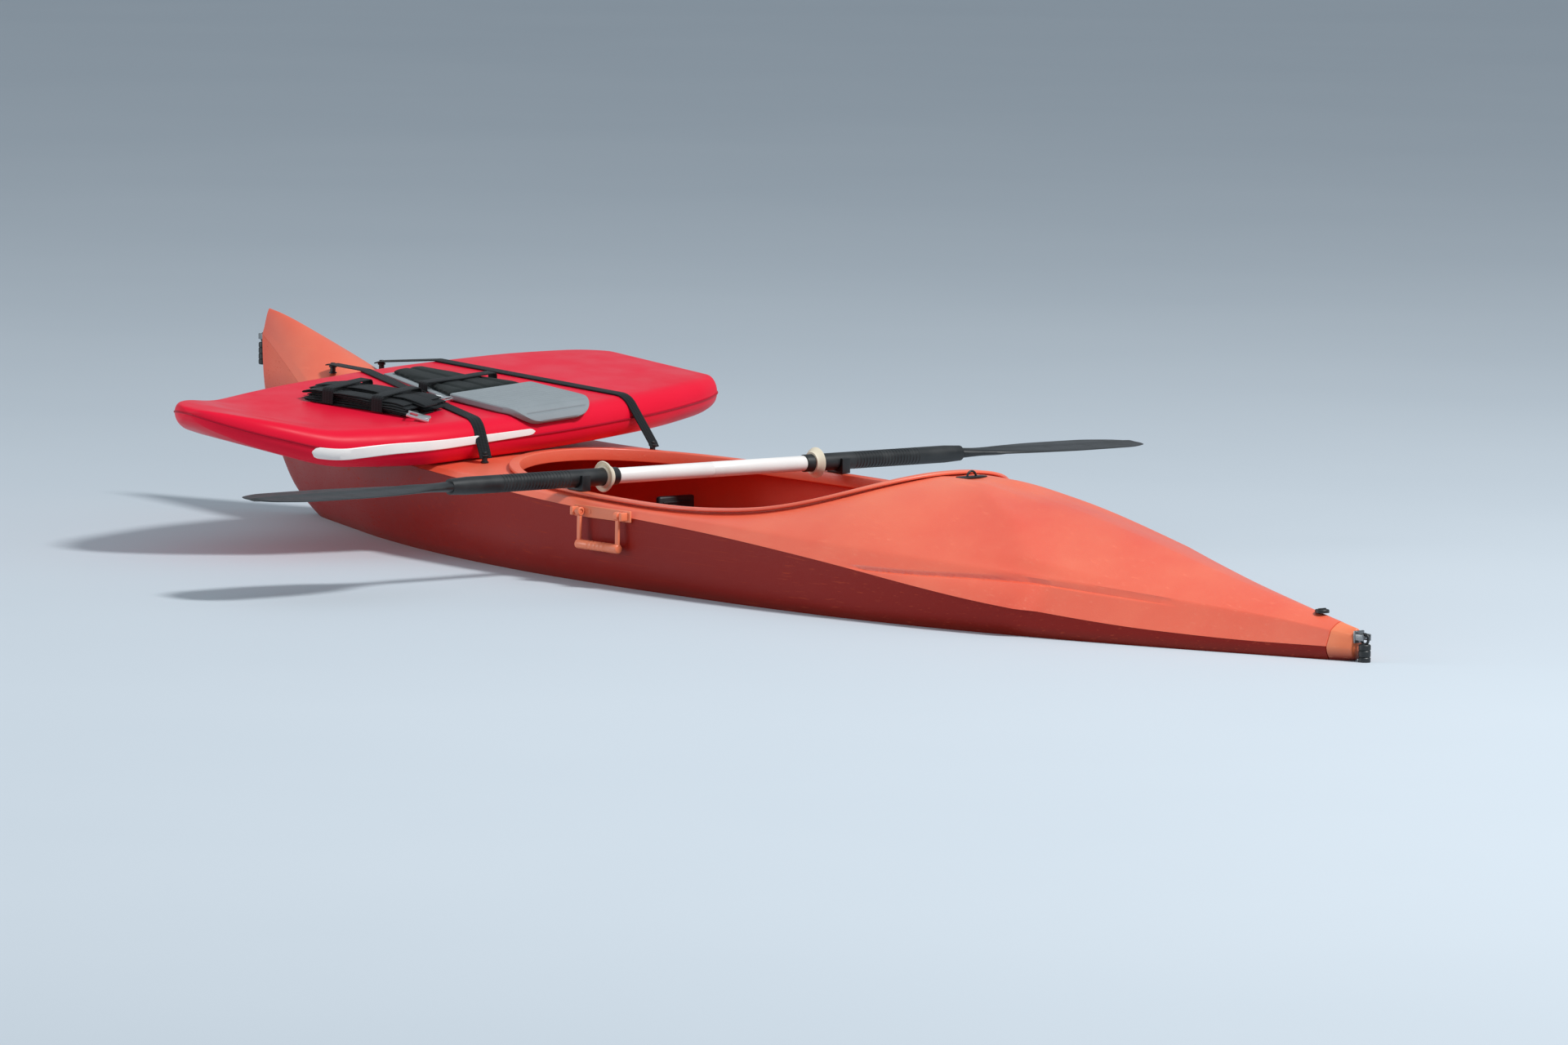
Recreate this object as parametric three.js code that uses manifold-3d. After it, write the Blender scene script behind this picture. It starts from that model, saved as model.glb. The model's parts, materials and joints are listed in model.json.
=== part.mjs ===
// Outrigger kayak: an orange moulded hull with a large cockpit and an upturned bow, a crimson
// float lashed crosswise over the foredeck, and a double-bladed paddle laid across the cockpit.
// Millimetres. The bow points to -Y, port is +X, +Z is up, z = 0 is the waterline and the
// origin lies on the centreline at half the hull's length.

import * as THREE from 'three';
import { mergeVertices } from 'three/addons/utils/BufferGeometryUtils.js';
import Module from 'manifold-3d';

// Driving dimensions

const HULL_LENGTH = 3200;
const WALL = 10;               // thickness of the moulded shell round the cockpit
const GAP = 0.4;               // clearance kept between pieces that touch
const STATION_STEP = 100;      // spacing of the hull's loft sections

const CAP_LENGTH = 45;         // the stern's end cap
const COCKPIT = { centre: 1640, aft: 555, fore: 590, halfWidth: 330, roundness: 2.3 };
const WELL_AFT = 1000;         // the hollow inside runs from here
const WELL_FORE = 2640;        // to here, under the foredeck
const RIM_TOP = 10;            // the coaming's lip above the deck's edge

const SEAT = { aft: 1180, fore: 1560, baseHalf: 54, footHalf: 72, foot_z: -84, bilgeHalf: 196, bilge_z: -78 };
const SEAT_PAN = { halfWidth: 205, lip: 14, lip_z: -40, hollowHalf: 180, z: -62 };
const SEAT_EAR = { thick: 12, depth: 44, behind: 8, below: 60, above: 16 };
const CUSHION = { halfWidth: 172, halfLength: 150, corner: 60, thick: 38, forward: 20 };
const BACKREST = { pivot_at: 1186, pivot_z: 6, pin: 5, thick: 26, lean: 12, halfWidth: 172, below: 8 };
const BACKREST_TOP = { shoulder_z: 70, shoulderHalf: 120, half: 90, z: 160, round: 10 };
const FOOT_RAIL = { aft: 2000, fore: 2300, z: 10, height: 34, thick: 14 };
const FOOT_PEG = { at: 2160, thick: 14, width: 90, below: 4, above: 90 };
const PILLAR = { aft: 2440, fore: 2600, halfWidth: 34, lift: 1, slack: 2 };

const FLOAT = { at: 2520, z: 259.5, pitch: -5.5, roll: 3.5, yaw: 3, thick: 80 };
const STRIPE = { from: 90, to: 575, height: 24, thick: 3 };
const PAD = { x: 30, halfWidth: 108, thick: 14, split: 80, fore: -190, corner: 60, darkFore: 48, drape: 60 };
const BUNDLE = { halfWidth: 66, halfLength: 150, corner: 45, thick: 36, x: 286, y: 20, lift: 1.2 };
const STRAP = { width: 26, thick: 2.5, aft_at: 2222, aft_x: 212, fore_at: 2905, fore_x: 62 };
const PEG = { radius: 8, height: 16, lift: 1.4 };
const CROSS = { y: -20, width: 26, foot: 7 };
const BUCKLE = { width: 34, length: 46, thick: 8, x: 168, y: 82, turn: 0.22 };

const PADDLE = { at: 1790, white: 235, radius: 15, sleeve: 17, neck: 640 };
const DRIP_RING = { x: 262, radius: 30, width: 16 };
const CLIP = { x: 326, width: 20, half: 23, under: 5, above: 7, mouth: 1.9 };

const TOGGLE = { out: 18, pin: 3, link: 9, wire: 2.5, radius: 11, length: 46, stern_z: 44, bow_z: 350 };
const TOGGLE_EYE = { plate: 4, width: 24, height: 22, lug: 4, lugHeight: 12, lugAt: 9, lugEnd: 5 };
const HANDLE = { at: 1660, out: 13, z: 140, drop: 62, radius: 9, pin: 4, pinLength: 20, play: 0.6 };
const HANDLE_PLATE = { thick: 5, half: 83, height: 22, lug: 8, lugHeight: 16, lugAt: 73, lugEnd: 21 };
const HANDLE_ARM = { thick: 6, depth: 10, eye: 8, eyeLength: 12, at: 57 };
const PLUG = { at: 92, radius: 13, thick: 6 };

// The hull's sections. Each row is one place along the hull, in millimetres from the stern tip:
// beam is the half breadth at the seam where hull and deck meet, seam and keel are heights,
// flat is half the keel's flat, full is the roundness of the bilge, edge and edge_z place the
// crease at the deck's edge, crown is the deck's height on the centreline, arch its roundness.
const COLUMNS = ['at', 'beam', 'seam', 'keel', 'flat', 'full', 'edge', 'edge_z', 'crown', 'arch'];
const SECTIONS = [
  [0, 17, 24, 4, 4, 1.8, 12, 46, 58, 1.6],
  [150, 78, 24, -46, 12, 1.8, 56, 66, 86, 1.5],
  [350, 160, 30, -78, 24, 1.9, 124, 85, 124, 1.4],
  [600, 250, 50, -96, 38, 2.1, 212, 106, 178, 1.4],
  [850, 316, 78, -105, 52, 2.4, 282, 122, 221, 1.6],
  [1080, 352, 105, -109, 60, 2.6, 328, 134, 240, 2.2],
  [1350, 368, 127, -110, 60, 2.7, 352, 146, 194, 2.4],
  [1600, 370, 138, -110, 60, 2.7, 357, 152, 172, 2.4],
  [1850, 362, 148, -110, 60, 2.6, 349, 160, 171, 2.2],
  [2100, 336, 160, -106, 54, 2.5, 322, 170, 182, 2.0],
  [2350, 292, 170, -98, 46, 2.3, 277, 178, 194, 2.0],
  [2600, 228, 188, -80, 32, 2.1, 213, 197, 210, 1.9],
  [2790, 165, 218, -57, 20, 1.9, 152, 228, 246, 1.8],
  [2950, 106, 270, -22, 12, 1.8, 95, 286, 334, 1.7],
  [3080, 58, 314, 42, 8, 1.7, 49, 328, 380, 1.6],
  [3160, 30, 342, 140, 6, 1.7, 24, 355, 401, 1.6],
  [3200, 18, 356, 226, 4, 1.7, 13, 370, 408, 1.6],
].map((row) => Object.fromEntries(COLUMNS.map((column, k) => [column, row[k]])));

// Colours and finishes

const finish = (color, roughness, metalness = 0) =>
  new THREE.MeshStandardMaterial({ color, roughness, metalness });

const ORANGE = finish(0xe8573a, 0.42);
const PALE_ORANGE = finish(0xf08a62, 0.45);
const CRIMSON = finish(0xe01b38, 0.35);
const WHITE = finish(0xf4f1ee, 0.35);
const CREAM = finish(0xe6dcc6, 0.5);
const BLACK = finish(0x15191b, 0.6);
const DARK_PAD = finish(0x2c3a3c, 0.85);
const GREY_PAD = finish(0x93a7a1, 0.8);
const FOAM = finish(0x2a2c2e, 0.95);
const STEEL = finish(0xb9bcbe, 0.3, 1);

const model = new THREE.Group();

function add(name, geometry, material, parent = model) {
  geometry.deleteAttribute('uv');
  const mesh = new THREE.Mesh(geometry, material);
  mesh.name = name;
  parent.add(mesh);
  return mesh;
}

// Solids: joins and cuts

const wasm = await Module();
wasm.setup();

function solid(geometry) {
  const bare = geometry.clone();
  bare.deleteAttribute('normal');
  bare.deleteAttribute('uv');
  bare.clearGroups();
  const merged = mergeVertices(bare, 1e-4);
  return new wasm.Manifold(new wasm.Mesh({
    numProp: 3,
    vertProperties: new Float32Array(merged.attributes.position.array),
    triVerts: new Uint32Array(merged.index.array),
  }));
}

function geometryOf(manifold) {
  const mesh = manifold.getMesh();
  const geometry = new THREE.BufferGeometry();
  geometry.setAttribute('position', new THREE.BufferAttribute(new Float32Array(mesh.vertProperties), 3));
  geometry.setIndex(new THREE.BufferAttribute(new Uint32Array(mesh.triVerts), 1));
  const flat = geometry.toNonIndexed();
  flat.computeVertexNormals();
  return flat;
}

function cut(body, ...tools) {
  return geometryOf(tools.reduce((rest, tool) => rest.subtract(solid(tool)), solid(body)));
}

function join(...bodies) {
  return geometryOf(bodies.slice(1).reduce((whole, next) => whole.add(solid(next)), solid(bodies[0])));
}

function common(first, second) {
  return geometryOf(solid(first).intersect(solid(second)));
}

// Lofts: each ring is a closed loop of points in one plane, all rings with the same count.
// flatAxes names the two coordinates in which the end rings are filled in.
function loft(rings, flatAxes) {
  const count = rings[0].length;
  const positions = rings.flat().flatMap((p) => [p.x, p.y, p.z]);
  const index = [];
  for (let r = 0; r + 1 < rings.length; r += 1) {
    for (let i = 0; i < count; i += 1) {
      const j = (i + 1) % count;
      const [a, b] = [r * count + i, r * count + j];
      index.push(a, b, a + count, b, b + count, a + count);
    }
  }
  const ends = [[rings[0], 0, false], [rings.at(-1), (rings.length - 1) * count, true]];
  for (const [ring, start, turn] of ends) {
    const outline = ring.map((p) => new THREE.Vector2(p[flatAxes[0]], p[flatAxes[1]]));
    const clockwise = THREE.ShapeUtils.isClockWise(outline);
    const faces = THREE.ShapeUtils.triangulateShape(clockwise ? outline.reverse() : outline, []);
    for (const face of faces) {
      const [a, b, c] = face.map((k) => start + (clockwise ? count - 1 - k : k));
      index.push(...(turn !== clockwise ? [a, b, c] : [a, c, b]));
    }
  }
  return facingOut(positions, index);
}

function facingOut(positions, index) {
  const at = (k) => new THREE.Vector3().fromArray(positions, 3 * k);
  let volume = 0;
  for (let i = 0; i < index.length; i += 3) {
    const [a, b, c] = [at(index[i]), at(index[i + 1]), at(index[i + 2])];
    volume += a.dot(b.cross(c));
  }
  const geometry = new THREE.BufferGeometry();
  geometry.setAttribute('position', new THREE.Float32BufferAttribute(positions, 3));
  geometry.setIndex(volume > 0 ? index : index.reverse());
  const flat = geometry.toNonIndexed();
  flat.computeVertexNormals();
  return flat;
}

// A closed rail: a section of (out, up) points carried round a closed path.
function rail(path, section) {
  const positions = [];
  const index = [];
  path.forEach((p, i) => {
    const before = path.at(i - 1);
    const after = path[(i + 1) % path.length];
    const along = new THREE.Vector3().subVectors(after, before).setZ(0).normalize();
    for (const [out, up] of section) {
      positions.push(p.x - along.y * out, p.y + along.x * out, p.z + up);
    }
  });
  const n = section.length;
  for (let i = 0; i < path.length; i += 1) {
    for (let k = 0; k < n; k += 1) {
      const [a, b] = [i * n + k, i * n + (k + 1) % n];
      const [c, d] = [((i + 1) % path.length) * n + k, ((i + 1) % path.length) * n + (k + 1) % n];
      index.push(a, b, c, b, d, c);
    }
  }
  return facingOut(positions, index);
}

// Small solids placed by their centre

function box(width, depth, height, x, y, z) {
  return new THREE.BoxGeometry(width, depth, height).translate(x, y, z);
}

function rod(radius, length, axis, x, y, z, sides = 20) {
  const geometry = new THREE.CylinderGeometry(radius, radius, length, sides);
  if (axis === 'x') geometry.rotateZ(Math.PI / 2);
  if (axis === 'z') geometry.rotateX(Math.PI / 2);
  return geometry.translate(x, y, z);
}

// A flat outline from its (x, y) points.
const outlineOf = (points) => new THREE.Shape(points.map(([x, y]) => new THREE.Vector2(x, y)));

// A plan outline with rounded corners.
function roundedOutline(halfWidth, halfDepth, corner) {
  const outline = new THREE.Shape();
  const [x, y] = [halfWidth - corner, halfDepth - corner];
  outline.absarc(x, y, corner, 0, Math.PI / 2);
  outline.absarc(-x, y, corner, Math.PI / 2, Math.PI);
  outline.absarc(-x, -y, corner, Math.PI, 1.5 * Math.PI);
  outline.absarc(x, -y, corner, 1.5 * Math.PI, 2 * Math.PI);
  return new THREE.Shape(outline.getPoints(5));
}

// A flat band whose underside follows a profile of (distance, height) towards -Y.
function bandAlong(profile, thick, width) {
  const points = profile.map(([d, h]) => new THREE.Vector2(d, h));
  const normals = points.map((p, i) => {
    const before = points[Math.max(i - 1, 0)];
    const after = points[Math.min(i + 1, points.length - 1)];
    const along = after.clone().sub(before).normalize();
    return new THREE.Vector2(-along.y, along.x);
  });
  const facing = points.at(-1).x < 0 ? -1 : 1;
  const top = points.map((p, i) => p.clone().addScaledVector(normals[i], facing * thick));
  const side = new THREE.Shape([...points, ...top.reverse()]);
  return new THREE.ExtrudeGeometry(side, { depth: width, bevelEnabled: false })
    .translate(0, 0, -width / 2)
    .rotateX(Math.PI / 2)
    .rotateZ(Math.PI / 2);
}

// The hull's form

const yAt = (fromStern) => HULL_LENGTH / 2 - fromStern;

// A value of the section table between its rows, on a smooth curve that makes no false humps.
function formAt(column, at) {
  const last = SECTIONS.length - 1;
  const place = Math.min(Math.max(at, 0), HULL_LENGTH);
  let k = SECTIONS.findIndex((row) => row.at > place) - 1;
  if (k < 0) k = last - 1;
  const rise = (i, name) => SECTIONS[i + 1][name] - SECTIONS[i][name];
  const slope = (i) => rise(i, column) / rise(i, 'at');
  const tangent = (i) => {
    if (i === 0) return slope(0);
    if (i === last) return slope(last - 1);
    const [before, after] = [slope(i - 1), slope(i)];
    return before * after <= 0 ? 0 : (2 * before * after) / (before + after);
  };
  const span = SECTIONS[k + 1].at - SECTIONS[k].at;
  const t = (place - SECTIONS[k].at) / span;
  const [t2, t3] = [t * t, t * t * t];
  return (2 * t3 - 3 * t2 + 1) * SECTIONS[k][column] + (t3 - 2 * t2 + t) * span * tangent(k)
    + (3 * t2 - 2 * t3) * SECTIONS[k + 1][column] + (t3 - t2) * span * tangent(k + 1);
}

const BILGE_STEPS = 6;
const DECK_STEPS = 6;

// Half a section below the seam, from the seam down to the edge of the keel's flat.
function bilgeHalf(at) {
  const [beam, seam, keel, flat, full] = ['beam', 'seam', 'keel', 'flat', 'full'].map((c) => formAt(c, at));
  const half = [];
  for (let i = 0; i <= BILGE_STEPS; i += 1) {
    const turn = (Math.PI / 2) * (i / BILGE_STEPS);
    half.push([
      flat + (beam - flat) * Math.cos(turn) ** (2 / full),
      seam - (seam - keel) * Math.sin(turn) ** (2 / full),
    ]);
  }
  return half;
}

// The deck's height at a place x from the centreline, inside its edge crease.
function deckHeight(at, x) {
  const [edge, edgeZ, crown, arch] = ['edge', 'edge_z', 'crown', 'arch'].map((c) => formAt(c, at));
  const share = Math.min(Math.abs(x) / edge, 1);
  return edgeZ + (crown - edgeZ) * (1 - share ** arch);
}

// Half a section above the seam, from the seam up to the centreline.
function deckHalf(at) {
  const half = [[formAt('beam', at), formAt('seam', at)]];
  for (let i = DECK_STEPS; i >= 0; i -= 1) {
    const x = (formAt('edge', at) * i) / DECK_STEPS;
    half.push([x, deckHeight(at, x)]);
  }
  return half;
}

const mirrored = (half) => half.map(([x, z]) => [-x, z]).reverse();
const ringAt = (at, section) => section.map(([x, z]) => new THREE.Vector3(x, yAt(at), z));

function stationsBetween(from, to) {
  const places = [];
  for (let at = from; at < to - 1; at += STATION_STEP) places.push(at);
  places.push(to);
  return places;
}

// Hull and deck mouldings: they meet at the seam, and the cockpit well is hollow in both.

const STATIONS = [...stationsBetween(CAP_LENGTH, 2745), 2790, 2840, 2890, 2945, 3020, 3100, 3140, 3170, HULL_LENGTH];

// The deck's height as lofted, straight from one station to the next.
function deckTop(at, x) {
  const k = STATIONS.findIndex((place) => place > at);
  const ends = [STATIONS[k - 1], STATIONS[k]];
  const t = (at - ends[0]) / (ends[1] - ends[0]);
  const between = (values) => values[0] + (values[1] - values[0]) * t;
  const edges = ends.map((place) => formAt('edge', place));
  const share = Math.min(Math.abs(x) / between(edges), 1);
  return between(ends.map((place, i) => deckHeight(place, share * edges[i]))) + GAP;
}

const hullRings = STATIONS.map((at) => {
  const half = bilgeHalf(at);
  return ringAt(at, [...half, ...mirrored(half)]);
});

const deckRings = STATIONS.map((at) => {
  const half = deckHalf(at).map(([x, z]) => [x, z + GAP]);
  return ringAt(at, [...half, ...mirrored(half.slice(0, -1))]);
});

// The well's sections are the hull's own, shrunk by the wall on every side.
const wellRings = stationsBetween(WELL_AFT, WELL_FORE).map((at) => {
  const lower = bilgeHalf(at);
  const upper = deckHalf(at).slice(1);
  const middle = (formAt('keel', at) + formAt('crown', at)) / 2;
  const height = formAt('crown', at) - formAt('keel', at);
  const beam = formAt('beam', at);
  const shrunk = [...upper.reverse(), ...lower].map(([x, z]) => [
    (x * (beam - WALL)) / beam,
    middle + ((z - middle) * (height - 2 * WALL)) / height,
  ]);
  return ringAt(at, [...shrunk, ...mirrored(shrunk.slice(1))]);
});
const well = loft(wellRings, ['x', 'z']);

function openingPath(points) {
  const path = [];
  for (let i = 0; i < points; i += 1) {
    const turn = (2 * Math.PI * i) / points;
    const power = 2 / COCKPIT.roundness;
    const across = Math.sign(Math.cos(turn)) * Math.abs(Math.cos(turn)) ** power;
    const along = Math.sign(Math.sin(turn)) * Math.abs(Math.sin(turn)) ** power;
    const at = COCKPIT.centre + along * (along > 0 ? COCKPIT.fore : COCKPIT.aft);
    const x = COCKPIT.halfWidth * across;
    path.push(new THREE.Vector3(x, yAt(at), deckHeight(at, x)));
  }
  return path;
}
const OPENING = openingPath(48);

const opening = new THREE.ExtrudeGeometry(
  new THREE.Shape(OPENING.map((p) => new THREE.Vector2(p.x, p.y))),
  { depth: 400, bevelEnabled: false },
);

add('hull_lower', cut(loft(hullRings, ['x', 'z']), well), ORANGE);
add('deck_upper', cut(loft(deckRings, ['x', 'z']), well, opening), ORANGE);

// Coaming: a flange that lines the opening and turns out over the deck as a lip.
const COAMING_SECTION = [[-8, -14], [-GAP, -14], [-GAP, 4], [13, 4], [13, RIM_TOP], [-8, RIM_TOP]];
add('coaming_rim', rail(OPENING, COAMING_SECTION), ORANGE);

// Stern cap: closes the tip with a flat end face.
const capRings = [0, CAP_LENGTH / 2, CAP_LENGTH - GAP].map((at) => {
  const half = [...deckHalf(at).slice(1).reverse(), ...bilgeHalf(at)];
  return ringAt(at, [...half, ...mirrored(half.slice(1))]);
});
add('stern_cap', loft(capRings, ['x', 'z']), PALE_ORANGE);

// Drain plug in the stern deck, just ahead of the cap.
const plugTop = deckHeight(PLUG.at + PLUG.radius, 0);
add('drain_plug', rod(PLUG.radius, PLUG.thick, 'z', 0, yAt(PLUG.at), plugTop + GAP + PLUG.thick / 2), BLACK);

// Half width of the well's inside at a height z.
function wellHalfWidth(at, z) {
  const [keel, crown, beam] = ['keel', 'crown', 'beam'].map((c) => formAt(c, at));
  const middle = (keel + crown) / 2;
  const outerZ = middle + ((z - middle) * (crown - keel)) / (crown - keel - 2 * WALL);
  const half = bilgeHalf(at);
  const k = Math.max(half.findIndex(([, height]) => height <= outerZ), 1);
  const [[x0, z0], [x1, z1]] = [half[k - 1], half[k]];
  return (x0 + ((x1 - x0) * (outerZ - z0)) / (z1 - z0)) * ((beam - WALL) / beam);
}

const wellFloor = (at) => formAt('keel', at) + WALL;

// Seat: a moulded pan on the well's floor with an ear on each side for the backrest's pin.
const panHalf = [
  [SEAT.baseHalf, wellFloor(SEAT.aft) + GAP], [SEAT.footHalf, SEAT.foot_z], [SEAT.bilgeHalf, SEAT.bilge_z],
  [SEAT_PAN.halfWidth, SEAT_PAN.lip_z], [SEAT_PAN.halfWidth - SEAT_PAN.lip, SEAT_PAN.lip_z],
  [SEAT_PAN.hollowHalf, SEAT_PAN.z],
];
const seatSection = outlineOf([...panHalf, ...mirrored(panHalf)]);
const seatBody = new THREE.ExtrudeGeometry(seatSection, { depth: SEAT.fore - SEAT.aft, bevelEnabled: false })
  .rotateX(Math.PI / 2)
  .translate(0, yAt(SEAT.aft), 0);
const earTop = BACKREST.pivot_z + SEAT_EAR.above;
const ears = [-1, 1].map((side) => box(SEAT_EAR.thick, SEAT_EAR.depth, earTop + SEAT_EAR.below,
  side * (SEAT_PAN.halfWidth - SEAT_EAR.thick / 2), yAt(BACKREST.pivot_at + SEAT_EAR.behind),
  (earTop - SEAT_EAR.below) / 2));
add('seat_pan', join(seatBody, ...ears), BLACK);

const cushionOutline = roundedOutline(CUSHION.halfWidth, CUSHION.halfLength, CUSHION.corner);
add('seat_cushion', new THREE.ExtrudeGeometry(cushionOutline, { depth: CUSHION.thick, bevelEnabled: false })
  .translate(0, yAt((SEAT.aft + SEAT.fore) / 2 + CUSHION.forward), SEAT_PAN.z + GAP), DARK_PAD);

// Backrest: a padded panel on pins through the pan's ears, folding forward over the seat.
const backHalf = [
  [BACKREST.halfWidth, -BACKREST.below], [BACKREST.halfWidth, BACKREST_TOP.shoulder_z],
  [BACKREST_TOP.shoulderHalf, BACKREST_TOP.z - BACKREST_TOP.round], [BACKREST_TOP.half, BACKREST_TOP.z],
];
const backOutline = outlineOf([...backHalf, ...mirrored(backHalf)]);
const backPanel = new THREE.ExtrudeGeometry(backOutline, { depth: BACKREST.thick, bevelEnabled: false })
  .translate(0, 0, -BACKREST.thick / 2)
  .rotateX(Math.PI / 2 - THREE.MathUtils.degToRad(BACKREST.lean));
const backPins = rod(BACKREST.pin, 2 * (SEAT_PAN.halfWidth - SEAT_EAR.thick - GAP), 'x', 0, 0, 0);
add('backrest', join(backPanel, backPins).translate(0, yAt(BACKREST.pivot_at), BACKREST.pivot_z), DARK_PAD);

// Foot rails along the inside walls, with a peg on each.
for (const [side, sideName] of [[1, 'port'], [-1, 'starboard']]) {
  const [aftX, foreX] = [FOOT_RAIL.aft, FOOT_RAIL.fore].map((at) => wellHalfWidth(at, FOOT_RAIL.z) - GAP);
  const outline = outlineOf([
    [side * aftX, yAt(FOOT_RAIL.aft)],
    [side * foreX, yAt(FOOT_RAIL.fore)],
    [side * (foreX - FOOT_RAIL.thick), yAt(FOOT_RAIL.fore)],
    [side * (aftX - FOOT_RAIL.thick), yAt(FOOT_RAIL.aft)],
  ]);
  const bar = new THREE.ExtrudeGeometry(outline, { depth: FOOT_RAIL.height, bevelEnabled: false });
  add(`foot_rail_${sideName}`, bar.translate(0, 0, FOOT_RAIL.z), BLACK);

  const slope = (aftX - foreX) / (FOOT_RAIL.fore - FOOT_RAIL.aft);
  const railX = aftX - slope * (FOOT_PEG.at + FOOT_PEG.thick / 2 - FOOT_RAIL.aft) - FOOT_RAIL.thick - GAP;
  add(`foot_peg_${sideName}`, box(FOOT_PEG.width, FOOT_PEG.thick, FOOT_PEG.below + FOOT_PEG.above,
    side * (railX - FOOT_PEG.width / 2), yAt(FOOT_PEG.at),
    FOOT_RAIL.z + (FOOT_PEG.above - FOOT_PEG.below) / 2), BLACK);
}

// Foam pillar that holds the foredeck up, from the well's floor to the deck's underside.
const pillarPlaces = [0, 1, 2, 3, 4].map((k) => PILLAR.aft + (k * (PILLAR.fore - PILLAR.aft)) / 4);
const pillarTop = (at) => deckHeight(at, PILLAR.halfWidth) - WALL - PILLAR.slack;
const pillarSide = outlineOf([
  ...pillarPlaces.map((at) => [-yAt(at), wellFloor(at) + PILLAR.lift]),
  ...pillarPlaces.reverse().map((at) => [-yAt(at), pillarTop(at)]),
]);
add('foam_pillar', new THREE.ExtrudeGeometry(pillarSide, { depth: 2 * PILLAR.halfWidth, bevelEnabled: false })
  .translate(0, 0, -PILLAR.halfWidth)
  .rotateX(Math.PI / 2)
  .rotateZ(-Math.PI / 2), FOAM);

// Carry toggles: a grip on a wire link that hangs from a pin behind the stern and before the stem.
for (const [name, y, z, out] of [
  ['stern', yAt(0), TOGGLE.stern_z, 1],
  ['bow', yAt(HULL_LENGTH), TOGGLE.bow_z, -1],
]) {
  const plate = box(TOGGLE_EYE.width, TOGGLE_EYE.plate, TOGGLE_EYE.height,
    0, y + out * (TOGGLE_EYE.plate / 2 + GAP), z);
  const lugDepth = TOGGLE.out + TOGGLE_EYE.lugEnd;
  const lugs = [-1, 1].map((side) => box(TOGGLE_EYE.lug, lugDepth, TOGGLE_EYE.lugHeight,
    side * TOGGLE_EYE.lugAt, y + out * (GAP + lugDepth / 2), z));
  const pin = rod(TOGGLE.pin, 2 * TOGGLE_EYE.lugAt, 'x', 0, y + out * TOGGLE.out, z, 12);
  add(`${name}_eye`, join(plate, ...lugs, pin), STEEL);

  const hang = TOGGLE.link - TOGGLE.wire - TOGGLE.pin - GAP;
  const link = new THREE.TorusGeometry(TOGGLE.link, TOGGLE.wire, 8, 20)
    .rotateY(Math.PI / 2)
    .translate(0, 0, -hang);
  const grip = rod(TOGGLE.radius, TOGGLE.length, 'z', 0, 0, -hang - TOGGLE.link - TOGGLE.length / 2, 16);
  add(`${name}_toggle`, join(link, grip).translate(0, y + out * TOGGLE.out, z), BLACK);
}

// Side carry handles: a grip on two arms that hang from pins at the gunwale.
for (const [side, sideName] of [[1, 'port'], [-1, 'starboard']]) {
  const plateSpan = [-HANDLE_PLATE.half, 0, HANDLE_PLATE.half];
  const hullX = Math.max(...plateSpan.map((d) => formAt('beam', HANDLE.at + d))) + GAP;
  const pivotX = side * (hullX + HANDLE.out);
  const y = yAt(HANDLE.at);
  const plate = box(HANDLE_PLATE.thick, 2 * HANDLE_PLATE.half, HANDLE_PLATE.height,
    side * (hullX + HANDLE_PLATE.thick / 2), y, HANDLE.z);
  const lugs = [-1, 1].map((end) => box(HANDLE_PLATE.lugEnd, HANDLE_PLATE.lug, HANDLE_PLATE.lugHeight,
    side * (hullX + HANDLE_PLATE.lugEnd / 2), y + end * HANDLE_PLATE.lugAt, HANDLE.z));
  const pinAt = HANDLE_PLATE.lugAt - HANDLE_PLATE.lug / 2 - HANDLE.pinLength / 2 + HANDLE_ARM.eye / 2;
  const pins = [-1, 1].map((end) => (
    rod(HANDLE.pin, HANDLE.pinLength, 'y', pivotX, y + end * pinAt, HANDLE.z, 12)));
  add(`handle_bracket_${sideName}`, join(plate, ...lugs, ...pins), ORANGE);

  const armPlace = (end) => y + end * HANDLE_ARM.at;
  const eyes = [-1, 1].map((end) => (
    rod(HANDLE_ARM.eye, HANDLE_ARM.eyeLength, 'y', pivotX, armPlace(end), HANDLE.z, 16)));
  const bores = [-1, 1].map((end) => (
    rod(HANDLE.pin + HANDLE.play, HANDLE.pinLength, 'y', pivotX, armPlace(end), HANDLE.z, 12)));
  const arms = [-1, 1].map((end) => box(HANDLE_ARM.thick, HANDLE_ARM.depth, HANDLE.drop - HANDLE_ARM.thick,
    pivotX, armPlace(end), HANDLE.z - (HANDLE.drop + HANDLE_ARM.thick) / 2));
  const grip = rod(HANDLE.radius, 2 * (HANDLE_ARM.at + HANDLE_ARM.depth / 2), 'y',
    pivotX, y, HANDLE.z - HANDLE.drop, 16);
  add(`carry_handle_${sideName}`, cut(join(...eyes, ...arms, grip), ...bores), ORANGE);
}

// The float across the foredeck, in a frame of its own: x runs to its port nose, y aft, z up.
const floatFrame = new THREE.Group();
floatFrame.position.set(0, yAt(FLOAT.at), FLOAT.z);
floatFrame.rotation.set(...[FLOAT.pitch, FLOAT.roll, FLOAT.yaw].map(THREE.MathUtils.degToRad));
floatFrame.updateMatrixWorld(true);
model.add(floatFrame);

// Its sections: x is the place along it, half its half width there, thick its thickness and
// rise how far the upturned nose lifts the section.
const FLOAT_SECTIONS = [
  { x: 735, half: 24, thick: 22, rise: 70 },
  { x: 712, half: 72, thick: 40, rise: 61 },
  { x: 640, half: 142, thick: 60, rise: 38 },
  { x: 500, half: 214, thick: 74, rise: 6 },
  { x: 280, half: 266, thick: FLOAT.thick, rise: 0 },
  { x: 30, half: 280, thick: FLOAT.thick, rise: 0 },
  { x: -220, half: 262, thick: FLOAT.thick, rise: 0 },
  { x: -400, half: 222, thick: 76, rise: 0 },
  { x: -485, half: 182, thick: 66, rise: 0 },
  { x: -520, half: 134, thick: 46, rise: 0 },
];

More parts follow.
